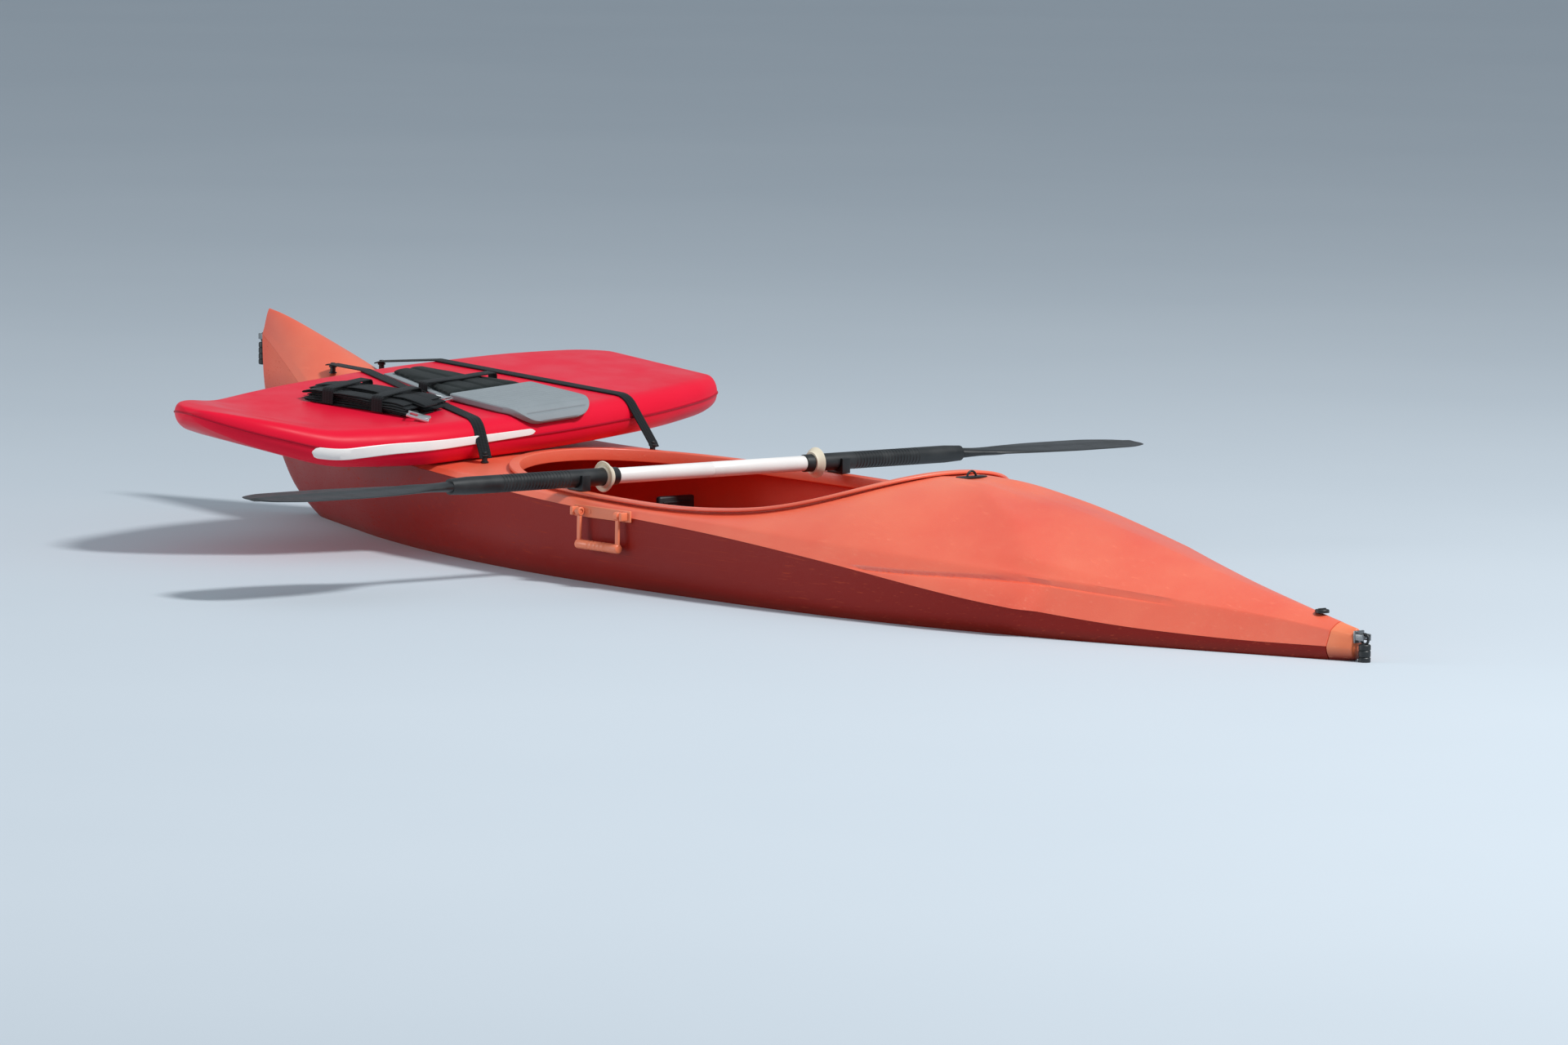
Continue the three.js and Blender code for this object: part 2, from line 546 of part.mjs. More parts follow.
// A section with flat faces above and below and half-round rails.
function floatRing({ x, half, thick, rise }) {
  const r = thick / 2;
  const points = [];
  for (const side of [1, -1]) {
    for (let k = 0; k <= 6; k += 1) {
      const turn = side * (Math.PI / 2 - (Math.PI * k) / 6);
      const out = side * (Math.max(half - r, 2) + Math.min(r, half - 2) * Math.cos(turn));
      points.push(new THREE.Vector3(x, out, rise + r * Math.sin(turn)));
    }
  }
  return points;
}
add('float_body', loft(FLOAT_SECTIONS.map(floatRing), ['y', 'z']), CRIMSON, floatFrame);

function floatAt(column, x) {
  const k = Math.max(FLOAT_SECTIONS.findIndex((row) => row.x <= x), 1);
  const [before, after] = [FLOAT_SECTIONS[k - 1], FLOAT_SECTIONS[k]];
  return after[column] + ((before[column] - after[column]) * (x - after.x)) / (before.x - after.x);
}

// The white rubbing strip on the float's aft rail.
const stripePlaces = [
  STRIPE.to,
  ...FLOAT_SECTIONS.map((row) => row.x).filter((x) => x < STRIPE.to && x > STRIPE.from),
  STRIPE.from,
];
const stripeRings = stripePlaces.map((x) => {
  const inner = floatAt('half', x) + GAP;
  const [low, high] = [-1, 1].map((end) => floatAt('rise', x) + (end * STRIPE.height) / 2);
  return [[inner, low], [inner + STRIPE.thick, low], [inner + STRIPE.thick, high], [inner, high]]
    .map(([y, z]) => new THREE.Vector3(x, y, z));
});
add('float_stripe', loft(stripeRings, ['y', 'z']), WHITE, floatFrame);

// Pads on the float's top: a grey one whose round aft end hangs over the rail, a dark one before it.
const padBase = FLOAT.thick / 2 + GAP;
const railCentre = Math.max(...FLOAT_SECTIONS.map((row) => row.half)) - FLOAT.thick / 2;
const drapeSteps = 5;
const drape = (radius) => Array.from({ length: drapeSteps + 1 }, (_, k) => {
  const turn = Math.PI / 2 - THREE.MathUtils.degToRad((PAD.drape * k) / drapeSteps);
  return new THREE.Vector2(railCentre + radius * Math.cos(turn), radius * Math.sin(turn));
});
const padClear = FLOAT.thick / 2 + 4 * GAP;
const greySide = new THREE.Shape([
  new THREE.Vector2(PAD.split, padClear), ...drape(padClear),
  ...drape(padClear + PAD.thick).reverse(), new THREE.Vector2(PAD.split, padClear + PAD.thick),
]);
const greySheet = new THREE.ExtrudeGeometry(greySide, { depth: 2 * PAD.halfWidth, bevelEnabled: false })
  .rotateX(Math.PI / 2)
  .rotateZ(Math.PI / 2)
  .translate(PAD.x - PAD.halfWidth, 0, 0);
const padEnd = railCentre + padClear + PAD.thick;
const greyPlan = new THREE.ExtrudeGeometry(
  roundedOutline(PAD.halfWidth, padEnd, PAD.corner),
  { depth: 4 * FLOAT.thick, bevelEnabled: false },
).translate(PAD.x, 0, -2 * FLOAT.thick);
add('pad_grey', common(greySheet, greyPlan), GREY_PAD, floatFrame);

const darkOutline = outlineOf([
  [PAD.x - PAD.halfWidth, PAD.split - GAP], [PAD.x - PAD.darkFore, PAD.fore],
  [PAD.x + PAD.darkFore, PAD.fore], [PAD.x + PAD.halfWidth, PAD.split - GAP],
]);
add('pad_dark', new THREE.ExtrudeGeometry(darkOutline, { depth: PAD.thick, bevelEnabled: false })
  .translate(0, 0, padBase), DARK_PAD, floatFrame);

// Lashing straps: two bands that run from pegs by the cockpit over the float to pegs on the bow.
for (const [side, sideName] of [[1, 'port'], [-1, 'starboard']]) {
  const ends = [
    { at: STRAP.aft_at, x: side * STRAP.aft_x, place: 'aft' },
    { at: STRAP.fore_at, x: side * STRAP.fore_x, place: 'fore' },
  ].map(({ at, x, place }) => {
    const footTurns = [0, 1, 2, 3, 4, 5, 6, 7].map((k) => (Math.PI * k) / 4);
    const foot = Math.max(...footTurns.map((turn) => (
      deckTop(at + PEG.radius * Math.cos(turn), x + PEG.radius * Math.sin(turn))))) + GAP;
    const peg = rod(PEG.radius, PEG.height, 'z', x, yAt(at), foot + PEG.height / 2);
    add(`strap_peg_${place}_${sideName}`, peg, BLACK);
    return floatFrame.worldToLocal(new THREE.Vector3(x, yAt(at), foot + PEG.height + PEG.lift));
  });
  const [aft, fore] = ends;
  const turn = Math.atan2(fore.x - aft.x, aft.y - fore.y);
  const stretch = (y) => (y - aft.y) / Math.cos(turn);
  const round = FLOAT.thick / 2;
  const clear = round / Math.cos(Math.PI / 12) + 10;
  const railHalf = (y) => floatAt('half', aft.x + Math.tan(turn) * (aft.y - y)) - round;
  const profile = [
    [0, aft.z],
    ...[0, 1, 2].map((k) => [
      stretch(railHalf(aft.y) + clear * Math.cos((k * Math.PI) / 6)), clear * Math.sin((k * Math.PI) / 6),
    ]),
    [stretch(railHalf(aft.y)), round + 2],
    [stretch(-railHalf(fore.y)), round + 2],
    [stretch(-railHalf(fore.y) - clear * Math.cos(Math.PI / 3)), clear * Math.sin(Math.PI / 3)],
    [stretch(fore.y), fore.z],
  ];
  const band = bandAlong(profile, STRAP.thick, STRAP.width);
  band.rotateZ(turn).translate(aft.x, aft.y, 0);
  add(`strap_${sideName}`, band, BLACK, floatFrame);
}

// The strap across the dark pad, down to the float on both sides, and the buckle on the port strap.
const taper = (PAD.halfWidth - PAD.darkFore) / (PAD.split - PAD.fore);
const crossHalf = PAD.halfWidth - taper * (PAD.split - CROSS.y) + 3;
const crossTop = padBase + PAD.thick + GAP;
const crossUnder = [
  [crossHalf + CROSS.foot, padBase],
  [crossHalf + 1, padBase],
  [crossHalf + 1, crossTop],
];
const crossOver = [
  [crossHalf + 1 + STRAP.thick, crossTop + STRAP.thick],
  [crossHalf + 1 + STRAP.thick, padBase + STRAP.thick],
  [crossHalf + CROSS.foot, padBase + STRAP.thick],
];
const crossSide = outlineOf(
  [...crossUnder, ...mirrored(crossUnder), ...mirrored(crossOver), ...crossOver]
    .map(([x, z]) => [PAD.x + x, z]),
);
add('strap_cross', new THREE.ExtrudeGeometry(crossSide, { depth: CROSS.width, bevelEnabled: false })
  .rotateX(Math.PI / 2)
  .translate(0, CROSS.y + CROSS.width / 2, 0), BLACK, floatFrame);
add('strap_buckle', box(BUCKLE.width, BUCKLE.length, BUCKLE.thick, 0, 0, BUCKLE.thick / 2)
  .rotateZ(BUCKLE.turn)
  .translate(BUCKLE.x, BUCKLE.y, FLOAT.thick / 2 + 2 + STRAP.thick + GAP), STEEL, floatFrame);

// The straps' spare webbing, folded into a flat bundle beside the port strap.
const bundleOutline = roundedOutline(BUNDLE.halfWidth, BUNDLE.halfLength, BUNDLE.corner);
add('strap_bundle', new THREE.ExtrudeGeometry(bundleOutline, { depth: BUNDLE.thick, bevelEnabled: false })
  .rotateZ(BUCKLE.turn)
  .translate(BUNDLE.x, BUNDLE.y, padBase + BUNDLE.lift), BLACK, floatFrame);

// Paddle across the cockpit, in two clips on the coaming: a white shaft, black sleeves and blades.
const clipFoot = Math.max(...[-CLIP.half, CLIP.half].map((d) => (
  deckHeight(PADDLE.at + d, CLIP.x)))) + RIM_TOP + GAP;
const paddleZ = clipFoot + CLIP.under + PADDLE.sleeve + GAP;
const paddleY = yAt(PADDLE.at);

add('paddle_shaft', rod(PADDLE.radius, 2 * (PADDLE.white - GAP), 'x', 0, paddleY, paddleZ), WHITE);

// The blade's outline: along is the distance from its neck, half its half width, thick its thickness.
// Each face is a low ridge: wide and high place its shoulder as shares of half and thick.
const BLADE_FACE = { wide: 0.8, high: 0.35 };
const BLADE_SECTIONS = [
  { along: 0, half: 15, thick: 26 },
  { along: 60, half: 30, thick: 18 },
  { along: 150, half: 68, thick: 11 },
  { along: 270, half: 86, thick: 8 },
  { along: 380, half: 84, thick: 7 },
  { along: 440, half: 58, thick: 6 },
  { along: 460, half: 30, thick: 5 },
];

for (const [side, sideName] of [[1, 'port'], [-1, 'starboard']]) {
  add(`paddle_sleeve_${sideName}`, rod(PADDLE.sleeve, PADDLE.neck - PADDLE.white - GAP, 'x',
    side * (PADDLE.white + PADDLE.neck - GAP) / 2, paddleY, paddleZ), BLACK);

  const ring = rod(DRIP_RING.radius, DRIP_RING.width, 'x', side * DRIP_RING.x, paddleY, paddleZ, 24);
  const bore = rod(PADDLE.sleeve + GAP, 2 * DRIP_RING.width, 'x', side * DRIP_RING.x, paddleY, paddleZ);
  add(`drip_ring_${sideName}`, cut(ring, bore), CREAM);

  const bladeRings = BLADE_SECTIONS.map(({ along, half, thick }) => {
    const [edge, rise] = [half * BLADE_FACE.wide, thick * BLADE_FACE.high];
    const upper = [[half, 0], [edge, rise], [0, thick / 2], [-edge, rise]];
    const lower = upper.map(([y, z]) => [-y, -z]);
    const x = side * (PADDLE.neck + along);
    return [...upper, ...lower].map(([y, z]) => new THREE.Vector3(x, paddleY + y, paddleZ + z));
  });
  add(`paddle_blade_${sideName}`, loft(bladeRings, ['y', 'z']), BLACK);

  const clipTop = paddleZ + CLIP.above;
  const block = box(CLIP.width, 2 * CLIP.half, clipTop - clipFoot,
    side * CLIP.x, paddleY, (clipTop + clipFoot) / 2);
  const groove = rod(PADDLE.sleeve + GAP, 2 * CLIP.width, 'x', side * CLIP.x, paddleY, paddleZ, 24);
  const mouth = box(2 * CLIP.width, CLIP.mouth * PADDLE.sleeve, 2 * CLIP.above,
    side * CLIP.x, paddleY, paddleZ + CLIP.above + 2);
  add(`paddle_clip_${sideName}`, cut(block, groove, mouth), BLACK);
}

export default model;
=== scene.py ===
# Outrigger kayak afloat: an orange moulded hull with an upturned bow, a crimson float lashed
# crosswise over its foredeck, and a double-bladed paddle across the cockpit. Metres; the bow
# points to -Y, port is +X, and z = 0 is the waterline.
import json
import math
from functools import lru_cache, partial

import bmesh
import bpy
from mathutils import Matrix, Quaternion, Vector

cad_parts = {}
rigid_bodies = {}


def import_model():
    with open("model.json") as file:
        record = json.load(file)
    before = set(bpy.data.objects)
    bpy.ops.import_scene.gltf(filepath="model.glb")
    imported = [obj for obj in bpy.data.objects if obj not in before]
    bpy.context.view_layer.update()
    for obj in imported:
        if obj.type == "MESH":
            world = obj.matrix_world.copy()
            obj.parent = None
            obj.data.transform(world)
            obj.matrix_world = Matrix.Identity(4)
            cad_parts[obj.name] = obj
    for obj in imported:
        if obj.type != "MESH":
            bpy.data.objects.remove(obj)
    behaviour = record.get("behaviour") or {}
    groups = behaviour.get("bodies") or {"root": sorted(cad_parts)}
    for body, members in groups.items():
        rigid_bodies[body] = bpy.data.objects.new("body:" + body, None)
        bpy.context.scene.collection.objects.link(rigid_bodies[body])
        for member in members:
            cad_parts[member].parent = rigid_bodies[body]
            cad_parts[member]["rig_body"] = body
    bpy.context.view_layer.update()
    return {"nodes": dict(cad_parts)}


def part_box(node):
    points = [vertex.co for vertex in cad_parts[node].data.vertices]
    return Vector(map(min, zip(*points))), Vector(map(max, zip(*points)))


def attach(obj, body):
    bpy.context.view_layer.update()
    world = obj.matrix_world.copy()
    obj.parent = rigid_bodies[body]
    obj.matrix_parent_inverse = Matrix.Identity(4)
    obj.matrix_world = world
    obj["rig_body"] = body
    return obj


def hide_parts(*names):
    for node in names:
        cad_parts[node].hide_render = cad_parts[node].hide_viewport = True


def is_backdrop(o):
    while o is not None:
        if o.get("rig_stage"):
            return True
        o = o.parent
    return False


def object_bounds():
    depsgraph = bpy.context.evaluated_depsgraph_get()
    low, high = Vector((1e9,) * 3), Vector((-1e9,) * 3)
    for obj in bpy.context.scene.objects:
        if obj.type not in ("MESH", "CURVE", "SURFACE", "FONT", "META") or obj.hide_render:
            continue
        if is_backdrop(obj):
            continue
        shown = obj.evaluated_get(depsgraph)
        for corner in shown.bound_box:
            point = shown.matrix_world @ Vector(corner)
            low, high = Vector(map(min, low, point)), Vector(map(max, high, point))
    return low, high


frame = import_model()
MM = 0.001

# Camera: on a bank 16.6 m off the port quarter, 1.8 m above the water, with a long lens that takes
# in the craft alone. It leans a little about its own axis, as the slope of the horizon shows.
EYE = Vector((10.73, 12.60, 1.80))
AIM = Vector((0.0, 0.03, 0.11))
LENS = 200
ROLL = math.radians(0.84)
camera = bpy.data.objects.new("camera", bpy.data.cameras.new("camera"))
bpy.context.scene.collection.objects.link(camera)
camera.data.lens = LENS
camera.data.sensor_width = 36
camera.data.clip_end = 300
camera.location = EYE
camera.rotation_mode = "QUATERNION"
camera.rotation_quaternion = (AIM - EYE).to_track_quat("-Z", "Y") @ Quaternion((0, 0, 1), ROLL)
bpy.context.scene.camera = camera

# Hull's form, for the hull, deck, coaming and waterline. A row is a place in millimetres from the
# stern tip, the seam's half breadth and height, the keel's height and half flat, the bilge's
# roundness, the place and height of the deck's edge, and the height and arch of its crown.
HULL_LENGTH = 3200
WALL = 10
COLUMNS = ("at", "beam", "seam", "keel", "flat", "full", "edge", "edge_z", "crown", "arch")
ROWS = (
    (0, 17, 24, 4, 4, 1.8, 12, 46, 58, 1.6),
    (150, 78, 24, -46, 12, 1.8, 56, 66, 86, 1.5),
    (350, 160, 30, -78, 24, 1.9, 124, 85, 124, 1.4),
    (600, 250, 50, -96, 38, 2.1, 212, 106, 178, 1.4),
    (850, 316, 78, -105, 52, 2.4, 282, 122, 221, 1.6),
    (1080, 352, 105, -109, 60, 2.6, 328, 134, 240, 2.2),
    (1350, 368, 127, -110, 60, 2.7, 352, 146, 194, 2.4),
    (1600, 370, 138, -110, 60, 2.7, 357, 152, 172, 2.4),
    (1850, 362, 148, -110, 60, 2.6, 349, 160, 171, 2.2),
    (2100, 336, 160, -106, 54, 2.5, 322, 170, 182, 2.0),
    (2350, 292, 170, -98, 46, 2.3, 277, 178, 194, 2.0),
    (2600, 228, 188, -80, 32, 2.1, 213, 197, 210, 1.9),
    (2790, 165, 218, -57, 20, 1.9, 152, 228, 246, 1.8),
    (2950, 106, 270, -22, 12, 1.8, 95, 286, 334, 1.7),
    (3080, 58, 314, 42, 8, 1.7, 49, 328, 380, 1.6),
    (3160, 30, 342, 140, 6, 1.7, 24, 355, 401, 1.6),
    (3200, 18, 356, 226, 4, 1.7, 13, 370, 408, 1.6),
)


def table(rows, columns):
    """A table's columns by name, each as pairs of the place and the value there."""
    return {name: tuple((row[0], row[k]) for row in rows) for k, name in enumerate(columns)}


@lru_cache(maxsize=None)
def curve(rows, place):
    """A column's value between its rows, on a smooth curve that makes no false humps."""
    last = len(rows) - 1
    place = min(max(place, rows[0][0]), rows[last][0])
    k = max(i for i in range(last) if rows[i][0] <= place)
    spans = [rows[i + 1][0] - rows[i][0] for i in range(last)]
    slopes = [(rows[i + 1][1] - rows[i][1]) / spans[i] for i in range(last)]

    def tangent(i):
        if i in (0, last):
            return slopes[0] if i == 0 else slopes[-1]
        before, after = slopes[i - 1], slopes[i]
        return 0 if before * after <= 0 else 2 * before * after / (before + after)

    t = (place - rows[k][0]) / spans[k]
    return (
        (2 * t**3 - 3 * t**2 + 1) * rows[k][1]
        + (t**3 - 2 * t**2 + t) * spans[k] * tangent(k)
        + (3 * t**2 - 2 * t**3) * rows[k + 1][1]
        + (t**3 - t**2) * spans[k] * tangent(k + 1)
    )


HULL_FORM = table(ROWS, COLUMNS)


def form(column, at):
    """The hull's value in a column at a place along it."""
    return curve(HULL_FORM[column], at)


def place(x, at, z):
    """A point in metres from its place on the hull in millimetres."""
    return Vector((x * MM, (HULL_LENGTH / 2 - at) * MM, z * MM))


# Waterline: a plain pale floor at z = 0, open where the hull floats in it, so that the cockpit
# stays dry. The opening runs inside the thickness of the hull's wall.
FLOOR = {"radius": 90.0, "points": 240, "mottle": 0.6}
WATERLINE = {"stern": 16, "bow": 2990, "inset": 4}


def half_breadth(at, z):
    """The hull's half breadth at a height below the seam."""
    rows = {c: form(c, at) for c in ("beam", "seam", "keel", "flat", "full")}
    sunk = min(max((rows["seam"] - z) / (rows["seam"] - rows["keel"]), 0), 1)
    rise = math.sqrt(max(1 - (sunk ** (rows["full"] / 2)) ** 2, 0))
    return rows["flat"] + (rows["beam"] - rows["flat"]) * rise ** (2 / rows["full"])


def feed(material, node, inputs):
    """Sets a node's inputs, each to a value or to the output that feeds it."""
    for name, value in inputs.items():
        if isinstance(value, bpy.types.NodeSocket):
            material.node_tree.links.new(value, node.inputs[name])
        else:
            node.inputs[name].default_value = value


def add_node(material, kind, output, inputs=None, **settings):
    """Adds a node with its settings and inputs, and gives back one of its outputs."""
    node = material.node_tree.nodes.new("ShaderNode" + kind)
    for name, value in settings.items():
        setattr(node, name, value)
    feed(material, node, inputs or {})
    return node.outputs[output]


def srgb(code):
    """A hex colour as the linear values that a socket takes."""
    parts = [int(code[i : i + 2], 16) / 255 for i in (1, 3, 5)]
    return [p / 12.92 if p <= 0.04045 else ((p + 0.055) / 1.055) ** 2.4 for p in parts] + [1]


def new_material(name):
    """An empty material, add_node for that material, and the piece's own coordinates in it."""
    material = bpy.data.materials.new(name)
    material.use_nodes = True
    add = partial(add_node, material)
    return material, add, add("TexCoord", "Object")


def finish_material(material, inputs):
    """Feeds the shader that a material starts with, and gives back the material."""
    feed(material, material.node_tree.nodes["Principled BSDF"], inputs)
    return material


def new_object(bm, name, material, sharp=35):
    """Makes the piece of a bmesh, smooth but for edges sharper than that many degrees."""
    mesh = bpy.data.meshes.new(name)
    bm.to_mesh(mesh)
    bm.free()
    mesh.shade_smooth()
    mesh.set_sharp_from_angle(angle=math.radians(sharp))
    mesh.materials.append(material)
    made = bpy.data.objects.new(name, mesh)
    bpy.context.scene.collection.objects.link(made)
    return made


floor_paint, add, spot = new_material("painted_studio_floor")
mottle = add("TexNoise", "Fac", {"Vector": spot, "Scale": FLOOR["mottle"], "Detail": 3})
tone = add("MixRGB", "Color", {"Fac": mottle, "Color1": srgb("#BFC9D1"), "Color2": srgb("#C7D0D7")})
finish_material(floor_paint, {"Base Color": tone, "Roughness": 0.7})

bm = bmesh.new()
inner = bmesh.ops.create_circle(bm, segments=FLOOR["points"], radius=1)["verts"]
middle = (WATERLINE["stern"] + WATERLINE["bow"]) / 2
reach = (WATERLINE["bow"] - WATERLINE["stern"]) / 2
for v in inner:
    at = middle - v.co.y * reach
    side = math.copysign(1, v.co.x)
    half = max(half_breadth(at, 0) - WATERLINE["inset"], 0)
    v.co = place(0 if abs(v.co.x) < 1e-4 else side * half, at, 0)
bmesh.ops.create_circle(bm, segments=FLOOR["points"], radius=FLOOR["radius"])
bmesh.ops.bridge_loops(bm, edges=bm.edges[:])
for face in bm.faces:
    if face.normal.z < 0:
        face.normal_flip()
floor = new_object(bm, "floor", floor_paint)
floor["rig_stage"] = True

# Light: one large soft light high on the camera's right, where the sun stands, a weaker, low one
# off the port bow, and a pale sky all round.
SUN = {"place": (-1.6, 6.7, 8.8), "size": 2.0, "watts": 1090}
FILL = {"place": (7.5, -5.5, 2.6), "size": 4.0, "watts": 220}
SKY_STRENGTH = 0.56
for name, lamp in (("sun_light", SUN), ("fill_light", FILL)):
    light = bpy.data.lights.new(name, "AREA")
    light.shape = "DISK"
    light.size = lamp["size"]
    light.energy = lamp["watts"]
    holder = bpy.data.objects.new(name, light)
    bpy.context.scene.collection.objects.link(holder)
    holder.location = lamp["place"]
    holder.rotation_euler = (-Vector(lamp["place"])).to_track_quat("-Z", "Y").to_euler()
sky = bpy.data.worlds.new("sky")
sky.use_nodes = True
sky.node_tree.nodes["Background"].inputs["Color"].default_value = srgb("#D3DEE8")
sky.node_tree.nodes["Background"].inputs["Strength"].default_value = SKY_STRENGTH
bpy.context.scene.world = sky
bpy.context.scene.view_settings.view_transform = "Standard"

# Hull: the lower moulding, from the keel's flat up to the seam, of rotomoulded polyethylene with
# a wall of 10 mm round the cockpit. It is one sheet of quads moved to the form, closed and carved.
STERN_CUT = 45
WELL = (1000, 2640)
HULL_STEPS = {"along": 180, "across": 60}
WELL_STEPS = {"along": 60, "round": 96}
# Where the keel's flat ends, from the keel at 0 to the seam at 1, and where the deck's edge is,
# from the centreline at 0 to the seam at 1.
FLAT_SHARE = 0.12
EDGE_SHARE = 0.88


def polyethylene(name, colour, faded, deep=None, worn=1.0, wet_to=0.022, shine=0.5):
    """Rotomoulded polyethylene: satin, with the mould's fine orange peel, long scuffs, a paler
    bloom where the sun has faded it, a wet, darker band up to a height above the water and, where
    a deep colour is given, that colour as painted shade over the side up to 0.19 m, gone by 0.29 m."""
    material, add, spot = new_material(name)
    height = add("SeparateXYZ", "Z", {"Vector": spot})
    bloom = add("TexNoise", "Fac", {"Vector": spot, "Scale": 2.6, "Detail": 4, "Roughness": 0.55})
    fade = add("MapRange", "Result", {"Value": bloom, "From Min": 0.35, "From Max": 0.7, "To Max": 0.8})
    tone = add("MixRGB", "Color", {"Fac": fade, "Color1": srgb(colour), "Color2": srgb(faded)})
    # A deep colour is painted shade: it darkens the side up to 0.19 m and fades out by 0.29 m.
    if deep:
        span = {"Value": height, "From Min": 0.19, "From Max": 0.29, "To Min": 1, "To Max": 0}
        painted_shade = add("MapRange", "Result", span)
        tone = add("MixRGB", "Color", {"Fac": painted_shade, "Color1": tone, "Color2": srgb(deep)})
    span = {"Value": height, "From Min": wet_to - 0.018, "From Max": wet_to, "To Min": 1, "To Max": 0}
    wet = add("MapRange", "Result", span)
    soaked = add("MixRGB", "Color", {"Fac": wet, "Color1": tone, "Color2": srgb("#7E1E10")})
    # Scuffs run along the hull: 4 mm apart across it and stretched a hundred times along it.
    along = add("Mapping", "Vector", {"Vector": spot, "Scale": (260, 2.4, 260)})
    scuff = add("TexNoise", "Fac", {"Vector": along, "Scale": 1, "Detail": 2, "Roughness": 0.6})
    span = {"Value": scuff, "From Min": 0.62, "From Max": 0.72, "To Max": 0.35 * worn}
    scratched = add("MapRange", "Result", span)
    scraped = srgb("#C8543A" if deep else faded)
    pale = add("MixRGB", "Color", {"Fac": scratched, "Color1": soaked, "Color2": scraped})
    span = {"Value": bloom, "From Min": 0.3, "From Max": 0.7, "To Min": 0.34, "To Max": 0.46}
    gloss = add("MapRange", "Result", span)
    rough = add("Math", "Value", {0: gloss, 1: scratched}, operation="ADD")
    # Orange peel, 3 mm across and drawn deeper than it is so that it shows, over long, soft dents.
    peel = add("TexNoise", "Fac", {"Vector": spot, "Scale": 330, "Detail": 2})
    dent = add("TexNoise", "Fac", {"Vector": spot, "Scale": 7, "Detail": 1})
    relief = add("Math", "Value", {0: dent, 1: 6.0, 2: peel}, operation="MULTIPLY_ADD")
    bump = add("Bump", "Normal", {"Height": relief, "Strength": 0.35, "Distance": 0.0006})
    surface = {"Base Color": pale, "Roughness": rough, "Normal": bump, "IOR": 1.51}
    depth = {"Subsurface Weight": 0.06, "Subsurface Radius": (0.012, 0.004, 0.002)}
    return finish_material(material, surface | depth | {"Specular IOR Level": shine})


def hull_point(at, across):
    """A point below the seam: across runs from -1 at the starboard seam to 1 at the port one."""
    beam, seam, keel, flat, full = (form(c, at) for c in ("beam", "seam", "keel", "flat", "full"))
    reach_out = abs(across)
    side = math.copysign(1, across)
    if reach_out < FLAT_SHARE:
        return Vector((side * flat * reach_out / FLAT_SHARE, keel))
    turn = math.pi / 2 * (1 - reach_out) / (1 - FLAT_SHARE)
    x = flat + (beam - flat) * max(math.cos(turn), 0) ** (2 / full)
    return Vector((side * x, seam - (seam - keel) * math.sin(turn) ** (2 / full)))


def deck_height(at, x):
    """The deck's height inside its edge crease, bare of mouldings."""
    edge, edge_z, crown, arch = (form(c, at) for c in ("edge", "edge_z", "crown", "arch"))
    return edge_z + (crown - edge_z) * (1 - min(abs(x) / edge, 1) ** arch)


def deck_point(at, across):
    """A point above the seam: across runs from -1 at the starboard seam to 1 at the port one."""
    reach_out = abs(across)
    side = math.copysign(1, across)
    if reach_out > EDGE_SHARE:
        t = (reach_out - EDGE_SHARE) / (1 - EDGE_SHARE)
        x = form("edge", at) + (form("beam", at) - form("edge", at)) * t
        return Vector((side * x, form("edge_z", at) + (form("seam", at) - form("edge_z", at)) * t))
    x = form("edge", at) * reach_out / EDGE_SHARE
    return Vector((side * x, deck_height(at, x)))


def whole_point(at, around):
    """A point of the whole section: from the port seam under the keel, then over the deck."""
    return hull_point(at, -2 * around - 1) if around < 0 else deck_point(at, 2 * around - 1)


def well_point(at, around):
    """The cockpit's inside: the hull's and deck's sections, smaller by the wall on every side."""
    x, z = whole_point(at, around)
    middle_z = (form("keel", at) + form("crown", at)) / 2
    height = form("crown", at) - form("keel", at)
    beam = form("beam", at)
    return Vector((x * (beam - WALL) / beam, middle_z + (z - middle_z) * (height - 2 * WALL) / height))


def spaced(start, end, steps):
    """Evenly spaced numbers from start to end."""
    return [start + (end - start) * k / steps for k in range(steps + 1)]


def rings_on(outline, from_at, to_at, along, shares):
    """Rings of points on an outline of the hull, one for each place along it."""
    places = spaced(from_at, to_at, along)
    return [[place(p.x, at, p.y) for p in (outline(at, s) for s in shares)] for at in places]


def loft(rings):
    """A closed solid through rings of points; where the last ring is the first, the ends join.
    Each point keeps the number of its ring and its own number in it, for materials to read."""
    made = bmesh.new()
    order = made.verts.layers.float_vector.new("weave")
    count = len(rings[0])
    bmesh.ops.create_grid(made, x_segments=count, y_segments=len(rings) - 1, size=1)
    for v in made.verts:
        ring = round((1 - v.co.y) / 2 * (len(rings) - 1))
        k = round((1 + v.co.x) / 2 * count) % count
        v[order] = (ring, k, 0)
        v.co = rings[ring][k]
    bmesh.ops.remove_doubles(made, verts=made.verts, dist=1e-6)
    bmesh.ops.holes_fill(made, edges=[e for e in made.edges if e.is_boundary], sides=0)
    bmesh.ops.recalc_face_normals(made, faces=made.faces)
    return made


def bake(made):
    """Applies a piece's modifiers to its mesh."""
    bpy.context.view_layer.update()
    shaped = bpy.data.meshes.new_from_object(made.evaluated_get(bpy.context.evaluated_depsgraph_get()))
    made.modifiers.clear()
    made.data = shaped
    shaped.name = made.name


def carve(target, *cutters):
    """Cuts the cutters out of a piece."""
    for cutter in cutters:
        cut = target.modifiers.new("cut", "BOOLEAN")
        cut.operation = "DIFFERENCE"
        cut.solver = "EXACT"
        cut.material_mode = "TRANSFER"
        cut.object = cutter
    bake(target)


def finish_piece(made, body, slot, *nodes):
    """Fastens a piece to its body and hides the nodes that it stands for; its slot is not used."""
    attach(made, body)
    if nodes:
        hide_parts(*nodes)
    return made


